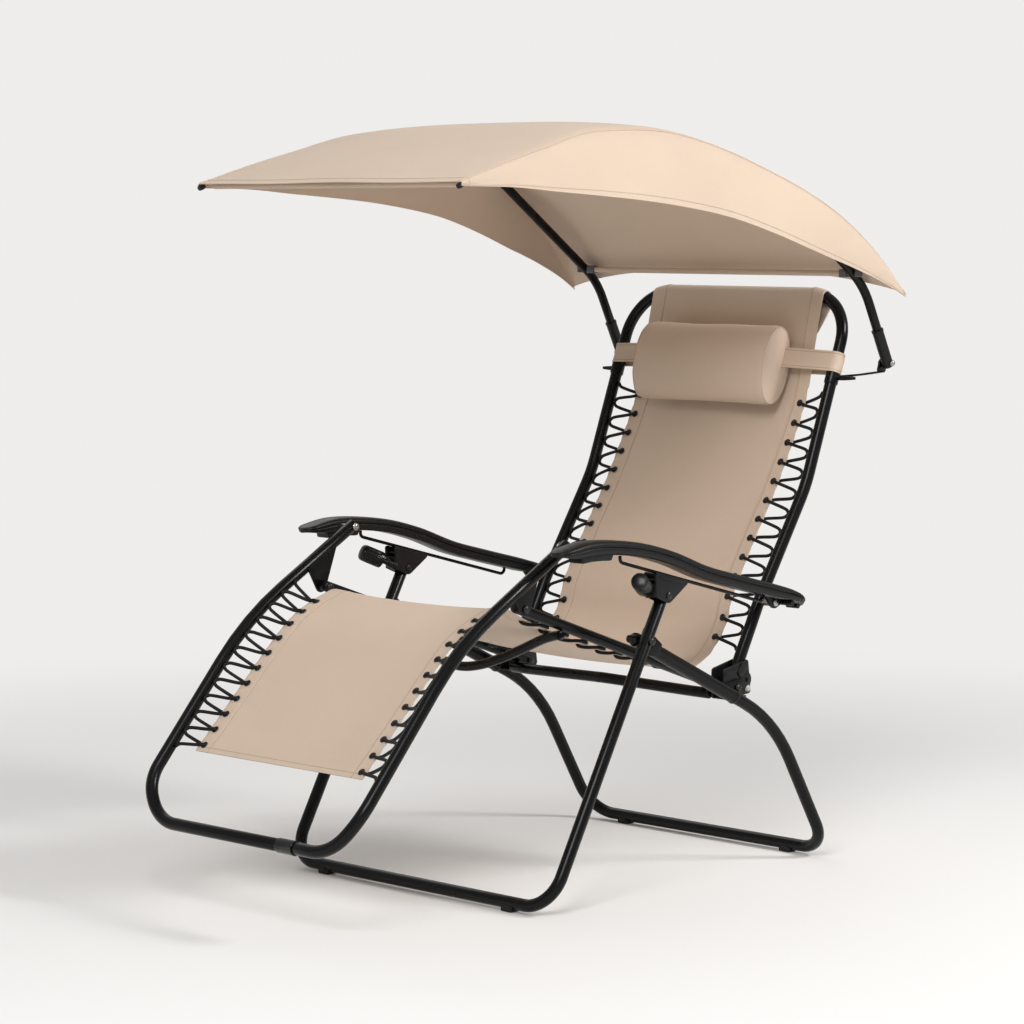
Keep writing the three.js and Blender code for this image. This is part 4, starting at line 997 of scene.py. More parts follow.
class LOUNGER_OT_legs(bpy.types.Operator):
    """Front and rear leg frames with their sleeves, saddles, pivot bolts and rubber feet"""
    bl_idname = "lounger.legs"
    bl_label = "Legs"

    def execute(self, context):
        diameter = sizes().tube
        sleeve = unit(LEG_PIVOT, REAR_BEND)
        rear = tube("rear_leg_tube", both_sides([
            (at(REAR_LANE, along(LEG_PIVOT, sleeve, 230)), 0), (at(REAR_LANE, REAR_BEND), 300),
            (spot(REAR_LANE, REAR_BAR_Y, FLOOR_BAR_Z), 60)]), diameter, 24)
        settle(rear, "rear_legs", "satin_black_paint", "rear_leg_frame")
        top = along(LOCK, unit((FRONT_BAR_Y, FLOOR_BAR_Z), LOCK), 8)
        front = tube("front_leg_tube", both_sides([
            (at(FRONT_LANE, top), 0), (spot(FRONT_LANE, FRONT_BAR_Y, FLOOR_BAR_Z), 60)]), diameter, 24)
        settle(front, "front_legs", "satin_black_paint", "front_leg_frame")
        settle_pair(self.sleeve(sleeve), "rear_legs", "satin_black_paint", "rear_leg_sleeve")
        settle_pair(self.saddle(sleeve), "front_legs", "satin_black_paint", "pivot_saddle")
        pivot = bolt("leg_pivot", LEG_PIVOT, REAR_LANE - 16.4, FRONT_LANE + FAR_FACE)
        settle_pair(pivot, "rear_legs", "blackened_steel", "leg_pivot_bolt")
        for name, body, y, lane in (("front_foot", "front_legs", FRONT_BAR_Y, FRONT_LANE),
                                    ("rear_foot", "rear_legs", REAR_BAR_Y, REAR_LANE)):
            settle_pair(self.foot(f"{name}_pad", y, lane - 95), body, "rubber", name)
        return {"FINISHED"}

    def sleeve(self, lean):
        """The thicker tube with its rounded nose, rolled rim and the lug for the hub bolt"""
        shell = tube("sleeve_shell", [at(REAR_LANE, along(LEG_PIVOT, lean, d)) for d in
                                      (-6, -4, 0, 60, 120, 180, 240, 282, 288)], 0.025, 24)
        rim = turned("sleeve_rim", [(12.2, -6), (13.2, -5), (13.4, -1), (12.6, 1.2), (11.2, 1.4)],
                     at(REAR_LANE, along(LEG_PIVOT, lean, 287)), Vector((0, *lean)), 32)
        lug = plate("sleeve_lug", hull([
            (*HUB, 16), (*along(LEG_PIVOT, lean, 254), 6), (*along(LEG_PIVOT, lean, 294), 6)]),
            LUG, LUG + PLATE_THICK)
        return joined("rear_sleeve", [shell, rim, lug])

    def saddle(self, lean):
        leg = unit((FRONT_BAR_Y, FLOOR_BAR_Z), LOCK)
        web = plate("saddle_web", hull([
            (*along(LEG_PIVOT, leg, 20), 4), (*along(LEG_PIVOT, leg, -20), 4),
            (*along(LEG_PIVOT, lean, 48, 9), 4), (*along(LEG_PIVOT, lean, 48, -9), 4)]),
            SADDLE, SADDLE + PLATE_THICK)
        return name_piece(web, "saddle")

    def foot(self, name, y, x):
        """A rubber block and a lower collar, both half round the floor bar"""
        body = block(name, (x - 13, y - 11, 0), (x + 13, y + 11, 10), 2.2)
        collar = block(f"{name}_collar", (x - 8.5, y - 12.4, 3), (x + 8.5, y + 12.4, 12.5), 2.6)
        return joined(name, [body, collar])


class LOUNGER_OT_seat_frame(bpy.types.Operator):
    """Seat rails and the two cross bars under them"""
    bl_idname = "lounger.seat_frame"
    bl_label = "Seat Frame"

    def execute(self, context):
        lean = unit(KNEE, HUB)
        rail = tube("rail", [at(RAIL_LANE, along(KNEE, lean, d)) for d in
                             (-10, -4, 60, 180, 300, 420, 533, math.dist(KNEE, HUB) + 10)], 0.02, 20)
        settle_pair(rail, "seat", "satin_black_paint", "seat_rail")

        def under(y, diameter):
            return KNEE[1] + (y - KNEE[0]) * lean[1] / lean[0] - ((20 + diameter) / 2 + 0.4) / lean[0]

        z = under(97, 17)
        bow = [(253, 97, z), (236, 98, z - 1), (200, 100, z - 12), (150, 102, z - 33), (100, 101, z - 53),
               (50, 99.6, z - 69), (0, 99, z - 76)]
        left = [spot(*p) for p in bow]
        path = curve_through(left + [Vector((-p.x, p.y, p.z)) for p in left[-2::-1]], 6)
        front = tube("front_bow", path, 0.017, 20)
        settle(front, "seat", "satin_black_paint", "front_cross_bar")
        z = under(478, 20)
        rear = tube("rear_bow", both_sides([
            (spot(253, 478, z), 0), (spot(205, 478, z), 120), (spot(0.01, 462, 334), 300)]), 0.02, 20)
        settle(rear, "seat", "satin_black_paint", "rear_cross_bar")
        knee = bolt("knee_pin", KNEE, RAIL_LANE - RAIL_FAR_FACE, BACK_LANE - 5.7)
        settle_pair(knee, "knees", "blackened_steel", "knee_bolt")
        hub = bolt("hub_pin", HUB, RAIL_LANE - RAIL_FAR_FACE, LUG + 7.4)
        settle_pair(hub, "seat", "blackened_steel", "hub_bolt")
        return {"FINISHED"}


class LOUNGER_OT_hub_plates(bpy.types.Operator):
    """Moulded cheeks either side of the back tube's foot, with their web, ear, rib, boss and pale cap"""
    bl_idname = "lounger.hub_plates"
    bl_label = "Hub Plates"

    def execute(self, context):
        y, z = HUB
        outline = hull([(y - 27, z - 14, 6), (y - 27, z + 30, 6), (y + 28, z + 42, 6), (y + 34, z - 8, 6)])
        inner = plate("hub_inner", outline, INNER_CHEEK, INNER_CHEEK + PLATE_THICK, 1.1)
        outer = plate("hub_outer", outline, OUTER_CHEEK, OUTER_CHEEK + PLATE_THICK, 1.1)
        web = block("hub_web", (INNER_CHEEK, y - 27, z - 20),
                    (OUTER_CHEEK + PLATE_THICK, y + 28, z - 16.4), 1.0)
        ear = plate("hub_ear", hull([(y + 22, z + 38, 9), (y + 12, z + 26, 8)]),
                    OUTER_CHEEK + 2.6, OUTER_CHEEK + 6.4, 1.4)
        rib = plate("hub_rib", hull([(y - 26, z + 26, 2.4), (y + 8, z + 33, 2.4)]),
                    OUTER_CHEEK + 3.2, OUTER_CHEEK + 4.8, 0.6)
        boss = turned("hub_boss", [(4.4, 0), (14, 0), (15.5, 1.2), (15.5, 2.2), (13, 3.2), (4.4, 3.2)],
                      at(OUTER_CHEEK + 2.8, (y + 24, z + 12)), Vector((1, 0, 0)), 28)
        cheeks = joined("hub_cheeks", [inner, outer, web, ear, rib, boss])
        settle_pair(cheeks, "hubs", "black_plastic", "hub_plates")
        cap = turned("hub_cap", [(0, 0), (6.2, 0), (6.8, 1.4), (6.4, 4.6), (4.8, 6.6), (2.4, 7.6), (0, 7.8)],
                     spot(OUTER_CHEEK + 1.0, y + 30, z - 4), Vector((1, 0.1, 0.0)), 24)
        settle_pair(cap, "hubs", "cap_plastic")
        return {"FINISHED"}


class LOUNGER_OT_foot_frame(bpy.types.Operator):
    """The foot frame in two bent halves, with its collar and knee gussets"""
    bl_idname = "lounger.foot_frame"
    bl_label = "Foot Frame"

    def execute(self, context):
        diameter = sizes().tube
        left = joined("foot_frame_left_piece", [tube("foot_left_tube", foot_run(112), diameter, 24),
                                                self.gusset()])
        settle(left, "foot", "satin_black_paint", "foot_frame_left")
        half = joined("foot_half", [tube("foot_right_tube", foot_run(-100), diameter, 24), self.gusset()])
        right = other_side(half, "foot_right_half")
        bpy.data.objects.remove(half)
        collar = turned("foot_collar", [(10.6, 0), (12.1, 0.4), (12.5, 1.6), (12.5, 40), (12.9, 40.6),
                                        (12.9, 42.6), (12.2, 43.4), (10.8, 43.6)],
                        at(97, FOOT_BAR), Vector((1, 0, 0)), 32)
        right = joined("foot_frame_right_piece", [right, collar])
        settle(right, "foot", "satin_black_paint", "foot_frame_right")
        return {"FINISHED"}

    def gusset(self):
        lean = unit(FOOT_ELBOW, ARM_FRONT)

        def on_tube(y):
            return (y, ARM_FRONT[1] + (y - ARM_FRONT[0]) * lean[1] / lean[0] - 4, 4)

        return plate("knee_gusset", hull([(*KNEE, 12), on_tube(KNEE[0] - 26), on_tube(KNEE[0] + 32)]),
                     258.4, 262.4)


class LOUNGER_OT_back_frame(bpy.types.Operator):
    """The back's inverted U of tube"""
    bl_idname = "lounger.back_frame"
    bl_label = "Back Frame"

    def execute(self, context):
        back = tube("back_tube", both_sides(back_corners()), sizes().tube, 24)
        settle(back, "back", "satin_black_paint", "back_frame")
        return {"FINISHED"}


class LOUNGER_OT_sling(bpy.types.Operator):
    """The laced fabric sling in four panels parted at the knees, the seat's middle and the hips, with its
    eyelets
    """
    bl_idname = "lounger.sling"
    bl_label = "Fabric Sling"

    def execute(self, context):
        smooth, loop = sling_line()
        cuts = [distance_on(smooth, seam) for seam in (KNEE_SEAM, SEAT_MIDDLE, HIP_SEAM)]
        total = length_of(smooth)
        stations = self.stations(smooth, loop)
        panels = self.parted(self.cloth(stations), stations, cuts)
        hub = at(0, HUB)
        knee = at(0, KNEE)
        blends = [
            ("foot_panel", "knees", "foot", self.near(knee, (24, -8)), self.near(knee, (-62, -36)),
             "foot_sling"),
            ("seat_front_panel", "seat", "knees", self.near(knee, (110, -50)), self.near(knee, (20, -6)),
             "seat_sling"),
            ("seat_rear_panel", "seat", "hubs", self.near(hub, (-90, 44)), self.near(hub, (0, 44)), None),
            ("back_panel", "hubs", "back", self.near(hub, (10, 50)), self.near(hub, (52, 106)), "back_sling"),
        ]
        edges = [0.0] + cuts + [total]
        for i, (panel, (name, first, second, start, end, node)) in enumerate(zip(panels, blends)):
            name_piece(panel, name)
            settle(panel, None, "sling_fabric", *([node] if node else []))
            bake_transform(panel)
            self.rings(name, smooth, edges[i], edges[i + 1], first, second, start, end)
        return {"FINISHED"}

    def near(self, pivot, offset):
        return pivot + Vector((0, offset[0] / 1000, offset[1] / 1000))

    def stations(self, smooth, loop):
        """Side-view stations: place, normal, distance, freedom to sag, and how far each follows the top bar"""
        line = smooth + loop
        found = []
        travelled = 0.0
        span = length_of(smooth)
        for i, place in enumerate(line):
            a = line[max(0, i - 1)]
            b = line[min(len(line) - 1, i + 1)]
            direction = unit(a, b)
            if i:
                travelled += math.dist(line[i - 1], place)
            free = min(1, travelled / 60) * min(1, max(0, (span - travelled) / 160))
            follow = min(1, max(0, (travelled - span + 90) / 90))
            found.append((place, (-direction[1], direction[0]), travelled, free, follow ** 2))
        return found

    def cloth(self, stations):
        """One grid for the whole sling: sagged between its edges, scalloped by the lacing, with hems"""
        hem = sizes().hem * 1000
        sag = sizes().sag * 1000
        laces = [distance for panel in LACES for distance in eyelets_of(panel)[0]]
        inner = SLING_HALF - hem
        half = [0, 22, 44, 66, 88, 108, 128, 146, 160, 171, inner - 2.2, inner - 0.6, inner + 0.6, inner + 5,
                inner + 12, SLING_HALF - 13, SLING_HALF - 7, SLING_HALF - 3, SLING_HALF]
        columns = [-x for x in half[:0:-1]] + half
        bar = Vector((0, *unit(BACK_ELBOW, BACK_TOP)))
        rows = []
        for place, normal, travelled, free, follow in stations:
            gap = min(abs(travelled - distance) for distance in laces)
            slack = min(1, gap / 22) if travelled < laces[-1] + 30 else 0.35
            end_hem = 0.9 if travelled < 24 else 0
            row = []
            for x in columns:
                share = abs(x) / SLING_HALF
                edge = max(0, (abs(x) - inner) / hem)
                pull = 2.6 * slack ** 2 * edge ** 2
                lift = -sag * free * (1 - share ** 2) - 1.4 * (1 - slack) * edge * (1 - edge) * 2
                lift += 0.9 if abs(x) > inner else end_hem
                ripple = 0.5 * math.sin(travelled / 9.5) * math.exp(-((share - 0.78) / 0.09) ** 2) * free
                drop = BACK_BEND - math.sqrt(BACK_BEND ** 2 - max(0, abs(x) - BACK_LANE + BACK_BEND) ** 2)
                point = spot(x - math.copysign(pull, x) if x else 0, *place)
                point += Vector((0, normal[0], normal[1])) * (lift + ripple) / 1000
                point -= bar * drop * follow / 1000
                row.append(point)
            rows.append(row)
        return sheet_grid("sling_cloth", rows)

    def parted(self, whole, stations, cuts):
        """Cuts the sling into panels, gives each its thickness, and keeps the whole's normals at the cuts"""
        mesh = whole.data
        columns = len(mesh.vertices) // len(stations)
        normals = [vertex.normal.copy() for vertex in mesh.vertices]
        number = mesh.attributes.new("grid_number", "INT", "POINT")
        number.data.foreach_set("value", range(len(mesh.vertices)))
        marks = [min(range(len(stations)), key=lambda i: abs(stations[i][2] - cut)) for cut in cuts]
        panels = []
        for first, last in zip([0] + marks, marks + [len(stations) - 1]):
            panel = copy_of(whole)
            pick(panel)
            bpy.ops.object.mode_set(mode="EDIT")
            bpy.ops.mesh.select_mode(type="FACE")
            edit = bmesh.from_edit_mesh(panel.data)
            for face in edit.faces:
                rows = [vertex.index // columns for vertex in face.verts]
                face.select_set(min(rows) < first or max(rows) > last)
            bmesh.update_edit_mesh(panel.data)
            bpy.ops.mesh.delete(type="FACE")
            bpy.ops.object.mode_set(mode="OBJECT")
            use_modifier(panel, "SOLIDIFY", thickness=sizes().fabric, offset=0)
            smoothed(panel, 180)
            kept = []
            grid = panel.data.attributes["grid_number"].data
            for vertex in panel.data.vertices:
                place = grid[vertex.index].value
                normal = normals[place]
                if vertex.normal.dot(normal) < 0:
                    normal = -normal
                kept.append(normal if place // columns in (first, last) else vertex.normal.copy())
            panel.data.normals_split_custom_set_from_vertices(kept)
            panel.data.attributes.remove(panel.data.attributes["grid_number"])
            panels.append(panel)
        bpy.data.objects.remove(whole)
        return panels

    def rings(self, name, smooth, first, last, body, other, start, end):
        """Pressed eyelet rings along both edges of one panel"""
        spots = [d for panel in LACES for d in eyelets_of(panel)[0] if first <= d < last]
        if not spots:
            return
        fresh()
        bpy.ops.mesh.primitive_torus_add(major_radius=0.0052, minor_radius=0.0015, major_segments=18,
                                         minor_segments=6)
        ring = bpy.context.object
        bpy.ops.object.mode_set(mode="EDIT")
        bpy.ops.mesh.select_all(action="SELECT")
        bpy.ops.transform.resize(value=(1, 1, 0.55))
        bpy.ops.object.mode_set(mode="OBJECT")
        copies = []
        for distance in spots:
            place, direction = place_on(smooth, distance)
            up = Vector((0, -direction[1], direction[0]))
            for side in (-1, 1):
                copy = copy_of(ring)
                stand(copy, spot(side * (SLING_HALF - EYELET_INSET), *place) + up * 0.0018, up)
                copies.append(copy)
        bpy.data.objects.remove(ring)
        rings = smoothed(joined(f"{name}_eyelets", copies), 60)
        settle(rings, None, "blackened_steel")
        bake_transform(rings)


class LOUNGER_OT_arms(bpy.types.Operator):
    """Armrests with their pivot blocks, slide rods and pivot pins"""
    bl_idname = "lounger.arms"
    bl_label = "Arms"

    def execute(self, context):
        line = smooth_line([(ARM_START + a * ARM_LENGTH, ARM_END_Z + r * ARM_RISE) for a, r in ARM_TOP], 81)
        arm = joined("armrest", [self.rest(line), *self.pivots(line)])
        settle_pair(arm, "arms", "black_plastic", "armrest")
        rod = [(y, z) for y, z in ((ROD_FRONT[0], self.top(line, ROD_FRONT[0]) - 26), ROD_FRONT, ROD_REAR,
                                   (ROD_REAR[0], self.top(line, ROD_REAR[0]) - 26))]
        corners = [(at(FRONT_LANE, p), 0 if i in (0, 3) else 9) for i, p in enumerate(rod)]
        rod = tube("slide_rod_piece", bent_path(corners), 0.006, 12)
        settle_pair(rod, "arms", "satin_black_paint", "slide_rod")
        front = bolt("arm_front", ARM_FRONT, BACK_LANE - FAR_FACE, ARM_LANE - 1)
        settle_pair(front, "foot", "zinc_steel", "arm_front_pin")
        inner = BACK_LANE + NEAR_FACE
        ear = ARM_LANE - 18
        rear = turned("arm_rear", [(0, 0), (4, 0), (8, 0), (8, ear - inner - 0.3), (4, ear - inner - 0.3),
                                   (4, ear - inner + 7.2), (6.6, ear - inner + 7.3), (7, ear - inner + 9),
                                   (4, ear - inner + 10.6), (0, ear - inner + 11)],
                      at(inner, ARM_REAR), Vector((1, 0, 0)), 24)
        settle_pair(rear, "arm_pins", "zinc_steel", "arm_pivot_bolt")
        return {"FINISHED"}

    def top(self, line, y):
        for a, b in zip(line, line[1:]):
            if a[0] <= y <= b[0]:
                return a[1] + (b[1] - a[1]) * (y - a[0]) / (b[0] - a[0])
        raise RuntimeError("beyond the arm")

    def rest(self, line):
        """The long moulded pad, rounded at both ends in plan and in depth"""
        half = 22.5
        rings = []
        last = len(line) - 1
        steps = [0.0, 0.12, 0.35, 0.7] + list(range(1, last)) + [last - 0.7, last - 0.35, last - 0.12, last]
        for step in steps:
            i = min(last - 1, int(step))
            share = step - i
            place = tuple(a + (b - a) * share for a, b in zip(line[i], line[i + 1]))
            direction = unit(line[i], line[i + 1])
            from_front = place[0] - ARM_START
            from_rear = ARM_START + ARM_LENGTH - place[0]
            wide = min(1, math.sqrt(max(0.02, 1 - (1 - min(1, from_front / 20)) ** 2)),
                       math.sqrt(max(0.02, 1 - (1 - min(1, from_rear / 24)) ** 2)))
            ahead = 0.3 + 0.7 * math.sin(min(1, from_front / 60) * math.pi / 2)
            behind = 0.4 + 0.6 * math.sin(min(1, from_rear / 90) * math.pi / 2)
            deep = 0.88 * ahead * behind
            start = (1 - wide) * 3
            section = [(u * half * wide, start + d * deep) for u, d in ARM_SECTION]
            section += [(-x, d) for x, d in reversed(section[1:-1])]
            rings.append([spot(ARM_LANE + x, place[0] + direction[1] * d, place[1] - direction[0] * d)
                          for x, d in section])
        return loft("arm_pad", rings)

    def pivots(self, line):
        """The block over the front pin, the rear ear and the two lobes under the rear end"""
        front = self.under(line, ARM_FRONT[0] - 28, ARM_FRONT[0] + 53, 20, 34.5)
        pieces = [plate("arm_block", front, ARM_LANE - 17, ARM_LANE + 17, 2.4)]
        roots = [(y, self.top(line, y) - 18, 8) for y in (ARM_REAR[0] - 20, ARM_REAR[0] + 20)]
        pieces.append(plate("arm_ear", hull([(*ARM_REAR, 11), *roots]), ARM_LANE - 18, ARM_LANE - 11, 1.2))
        for y, size in ((606, 5.5), (622, 4.6)):
            profile = [(0, 0), (size - 1, 0), (size, 1), (size, 27), (size - 1, 28), (0, 28)]
            start = spot(ARM_LANE - 14, y, self.top(line, y) - 25)
            pieces.append(turned("arm_lobe", profile, start, Vector((1, 0, 0)), 20))
        return pieces

    def under(self, line, y0, y1, upper, lower):
        steps = [y0 + (y1 - y0) * n / 6 for n in range(7)]
        top = [(y, self.top(line, y) - upper) for y in steps]
        bottom = [(y, self.top(line, y) - lower) for y in steps]
        bottom[0] = (bottom[0][0] + 4, bottom[0][1] + 1)
        bottom[-1] = (bottom[-1][0] - 6, bottom[-1][1] + 1)
        return bottom + top[::-1]


class LOUNGER_OT_locks(bpy.types.Operator):
    """Lock brackets that straddle the slide rods on the front legs, and their knobs"""
    bl_idname = "lounger.locks"
    bl_label = "Lock Brackets and Knobs"

    def execute(self, context):
        y, z = LOCK
        lean = Vector((0.45, -0.8, 0.4)).normalized()
        outline = hull([(y, z, 13), (y - 28.5, z + 36.5, 5), (y + 43.5, z + 19.5, 5), (y - 23.5, z + 4.5, 8)])
        inner = plate("lock_inner", outline, FRONT_LANE - FAR_FACE, FRONT_LANE - NEAR_FACE, 1.0)
        outer = plate("lock_outer", outline, FRONT_LANE + NEAR_FACE, FRONT_LANE + FAR_FACE, 1.0)
        rib = plate("lock_rib", hull([(y + 36, z + 20, 2.2), (y - 20, z + 34, 2.2)]),
                    FRONT_LANE + 14.4, FRONT_LANE + 16.2, 0.6)
        slope = (ROD_REAR[1] - ROD_FRONT[1]) / (ROD_REAR[0] - ROD_FRONT[0])
        ends = [(q, ROD_FRONT[1] + (q - ROD_FRONT[0]) * slope - 14.5) for q in (y - 28.5, y + 38.5)]
        web = plate("lock_web", [(q, level - 1.5) for q, level in ends]
                    + [(q, level + 1.5) for q, level in reversed(ends)], FRONT_LANE - 13, FRONT_LANE + 13, 0.5)
        nose = block("lock_nose", (FRONT_LANE - 13, y - 33.5, z - 1), (FRONT_LANE + 13, y - 23.5, z + 22), 1.4)
        start = spot(FRONT_LANE - 8, y - 29.5, z + 5.5)
        boss = turned("lock_boss", [(0, -4), (8.6, -4), (8.6, 3), (7, 4), (7, 13.4), (6.2, 14), (0, 14)],
                      start, lean, 24)
        body = joined("lock_bracket_piece", [inner, outer, rib, web, nose, boss])
        settle_pair(body, "lock_brackets", "black_plastic", "lock_bracket")
        rivet = bolt("lock_rivet", LOCK, FRONT_LANE - 17.3, FRONT_LANE + 17.3, 4.0, 6.4, 2.4, 1.2)
        settle_pair(rivet, "lock_brackets", "blackened_steel")
        knob = self.knob(start + lean * 0.0143, lean)
        settle_pair(knob, ("knob_left", "knob_right"), "knob_plastic", "lock_knob")
        return {"FINISHED"}

    def knob(self, start, lean):
        """A short stem and a fluted drum with a domed face"""
        profile = [(0, 0), (5, 0), (5, 9.5), (9, 10.4), (12.6, 11), (14.8, 12.4), (15.5, 14.6), (15.5, 28),
                   (15.5, 42), (15.3, 49), (14.6, 52.4), (13.2, 54.4), (12.4, 54.6), (11.6, 55.6), (8, 56.5),
                   (4, 56.9), (0, 57)]
        steps = 72
        drum = turned("knob_drum", profile, Vector((0, 0, 0)), Vector((0, 0, 1)), steps)
        for vertex in drum.data.vertices:
            place = vertex.co
            step = round(math.atan2(place.y, place.x) / (2 * math.pi / steps))
            if math.hypot(place.x, place.y) > 0.0153 and step % 3 == 0:
                place.x *= 0.965
                place.y *= 0.965
        stand(drum, start, lean)
        return name_piece(smoothed(drum, 25), "knob")


class LOUNGER_OT_headrest(bpy.types.Operator):
    """The padded bolster and the fabric band that holds it round the back tubes"""
    bl_idname = "lounger.headrest"
    bl_label = "Headrest"

    def execute(self, context):
        bolster = self.bolster()
        settle(bolster, "headrest", "beige_fabric", "headrest_pillow")
        for side, name in ((1, "left"), (-1, "right")):
            settle(self.welt(side, f"bolster_welt_{name}"), "headrest", "hem_fabric")
        band, length = self.band()
        settle(band, "headrest", "band_fabric", "headrest_strap")
        return {"FINISHED"}

    def fullness(self, share, angle):
        """The bolster's size at a share of its half length and an angle round it, with dents and end folds"""
        end = abs(share)
        size = (1 - max(0, (end - 0.90) / 0.10) ** 3 * 0.05) * (1 - 0.02 * (1 - end))
        fold = 0.0
        if end > 0.7:
            fold = 0.006 * ((end - 0.7) / 0.3) ** 2 * math.cos(13 * angle + 2.1 * math.sin(2 * angle))
        soft = 0.006 * math.sin(3 * angle + 5 * share) + 0.004 * math.sin(7 * share + 2 * angle)
        return size * (1 + fold + soft)

    def skin(self, share, angle, size):
        """A point of the bolster's skin, flat where it lies against the sling"""
        up = Vector((0, *HEADREST_LEAN)).normalized()
        front = Vector((0, -up.z, up.y))
        middle = spot(0, *HEADREST_MIDDLE) + front * 0.0415
        depth = max(BOLSTER_DEPTH * math.sin(angle) * size, -BOLSTER_BACK)
        return (middle + up * (BOLSTER_HEIGHT * math.cos(angle) * size) + front * depth
                + Vector((BOLSTER_LENGTH * share, 0, 0)))

    def bolster(self):
        """A stuffed tube of cloth with flat round ends sewn in"""
        count = 72
        angles = [2 * math.pi * n / count for n in range(count)]
        shares = [n / 30 - 1 for n in range(61)]
        body = [[self.skin(share, angle, self.fullness(share, angle)) for angle in angles] for share in shares]

        def end_rings(edge, side):
            centre = sum(edge, Vector()) / count
            return [[centre + (point - centre) * scale + Vector((side * out, 0, 0)) for point in edge]
                    for scale, out in ((0.965, 0.0006), (0.9, 0.0010), (0.7, 0.0020), (0.45, 0.0026),
                                       (0.2, 0.0029), (0.05, 0.0030))]

        rings = end_rings(body[0], -1)[::-1] + body + end_rings(body[-1], 1)
        return smoothed(loft("headrest_bolster", rings), 55)

    def welt(self, side, name):
        """The corded seam round one end"""
        angles = [2 * math.pi * n / 72 for n in range(73)]
        path = [self.skin(side, angle, self.fullness(1.0, angle) * 1.006) for angle in angles]
        return welt_tube(name, path, 0.0028)

    def band(self):
        """The band round both tubes, sewn to the bolster's ends, and its length"""
        axis = Vector((0, *unit(BACK_ELBOW, BACK_TOP)))
        front = Vector((0, -axis.z, axis.y))
        middle = at(0, along(BACK_TOP, unit(BACK_ELBOW, BACK_TOP), (BAND_Z - BACK_TOP[1]) / axis.z))
        face = 12.3
        back = -0.0145
        far = (BACK_LANE + face) / 1000
        sewn = (0.164, (face + 12) / 1000)
        half = [(sewn, 0), ((far, face / 1000), 12), ((far, back), 12)]
        path = bent_path([(Vector((-x, 0, z)), radius) for (x, z), radius in half]
                         + [(Vector((x, 0, z)), radius) for (x, z), radius in reversed(half)])
        flat = evenly([(p.x, p.z) for p in path], 161)
        rows = []
        for x, out in flat:
            row = []
            for n in range(-6, 7):
                share = n / 6
                hem = 0.0004 if abs(n) > 4 else 0.0
                bow = -0.0008 * (1 - share ** 2)
                row.append(middle + Vector((x, 0, 0)) + front * (out + hem + bow) + axis * 0.019 * share)
            rows.append(row)
        band = sheet_grid("headrest_band", rows)
        use_modifier(band, "SOLIDIFY", thickness=COVER_THICK, offset=0)
        return smoothed(band, 60), length_of(flat)


def welt_tube(name, path, diameter):
    """A thin tube with the cloth's own map along it"""
    piece = tube(name, path, diameter, sides=8, rounded=False)
    if not piece.data.uv_layers:
        piece.data.uv_layers.new(name="Cloth")
    layer = piece.data.uv_layers.active
    layer.name = "Cloth"
    for loop in piece.data.loops:
        place = piece.data.vertices[loop.vertex_index].co
        layer.data[loop.index].uv = (place.x + place.y, place.z)
    return piece


def canopy_table(count):
    """Evenly spaced rows of the cover: share along, ridge rise, hem rise, ridge out, hem out and crown"""
    table = list(zip(ALONG, RIDGE_RISE, HEM_RISE, RIDGE_OUT, HEM_OUT, CROWN))
    return smooth_line(table, count)


def ridge_spot(row, across=1.0):
    """A point of the cover's top in chair millimetres, from one ridge to the other"""
    share, ridge, _, ridge_out, _, crown = row
    flat = 1 - abs(across) ** 3
    pull = share ** 8 * REAR_PULL * flat
    return Vector((across * ridge_out * CANOPY_HALF, CANOPY_FRONT + share * CANOPY_LENGTH - pull,
                   CANOPY_BASE + ridge * CANOPY_RISE + crown * CANOPY_RISE * flat))


def hem_spot(row, side):
    share, _, hem, _, hem_out, _ = row
    return Vector((side * hem_out * CANOPY_HALF, CANOPY_FRONT + share * CANOPY_LENGTH,
                   CANOPY_BASE + hem * CANOPY_RISE))


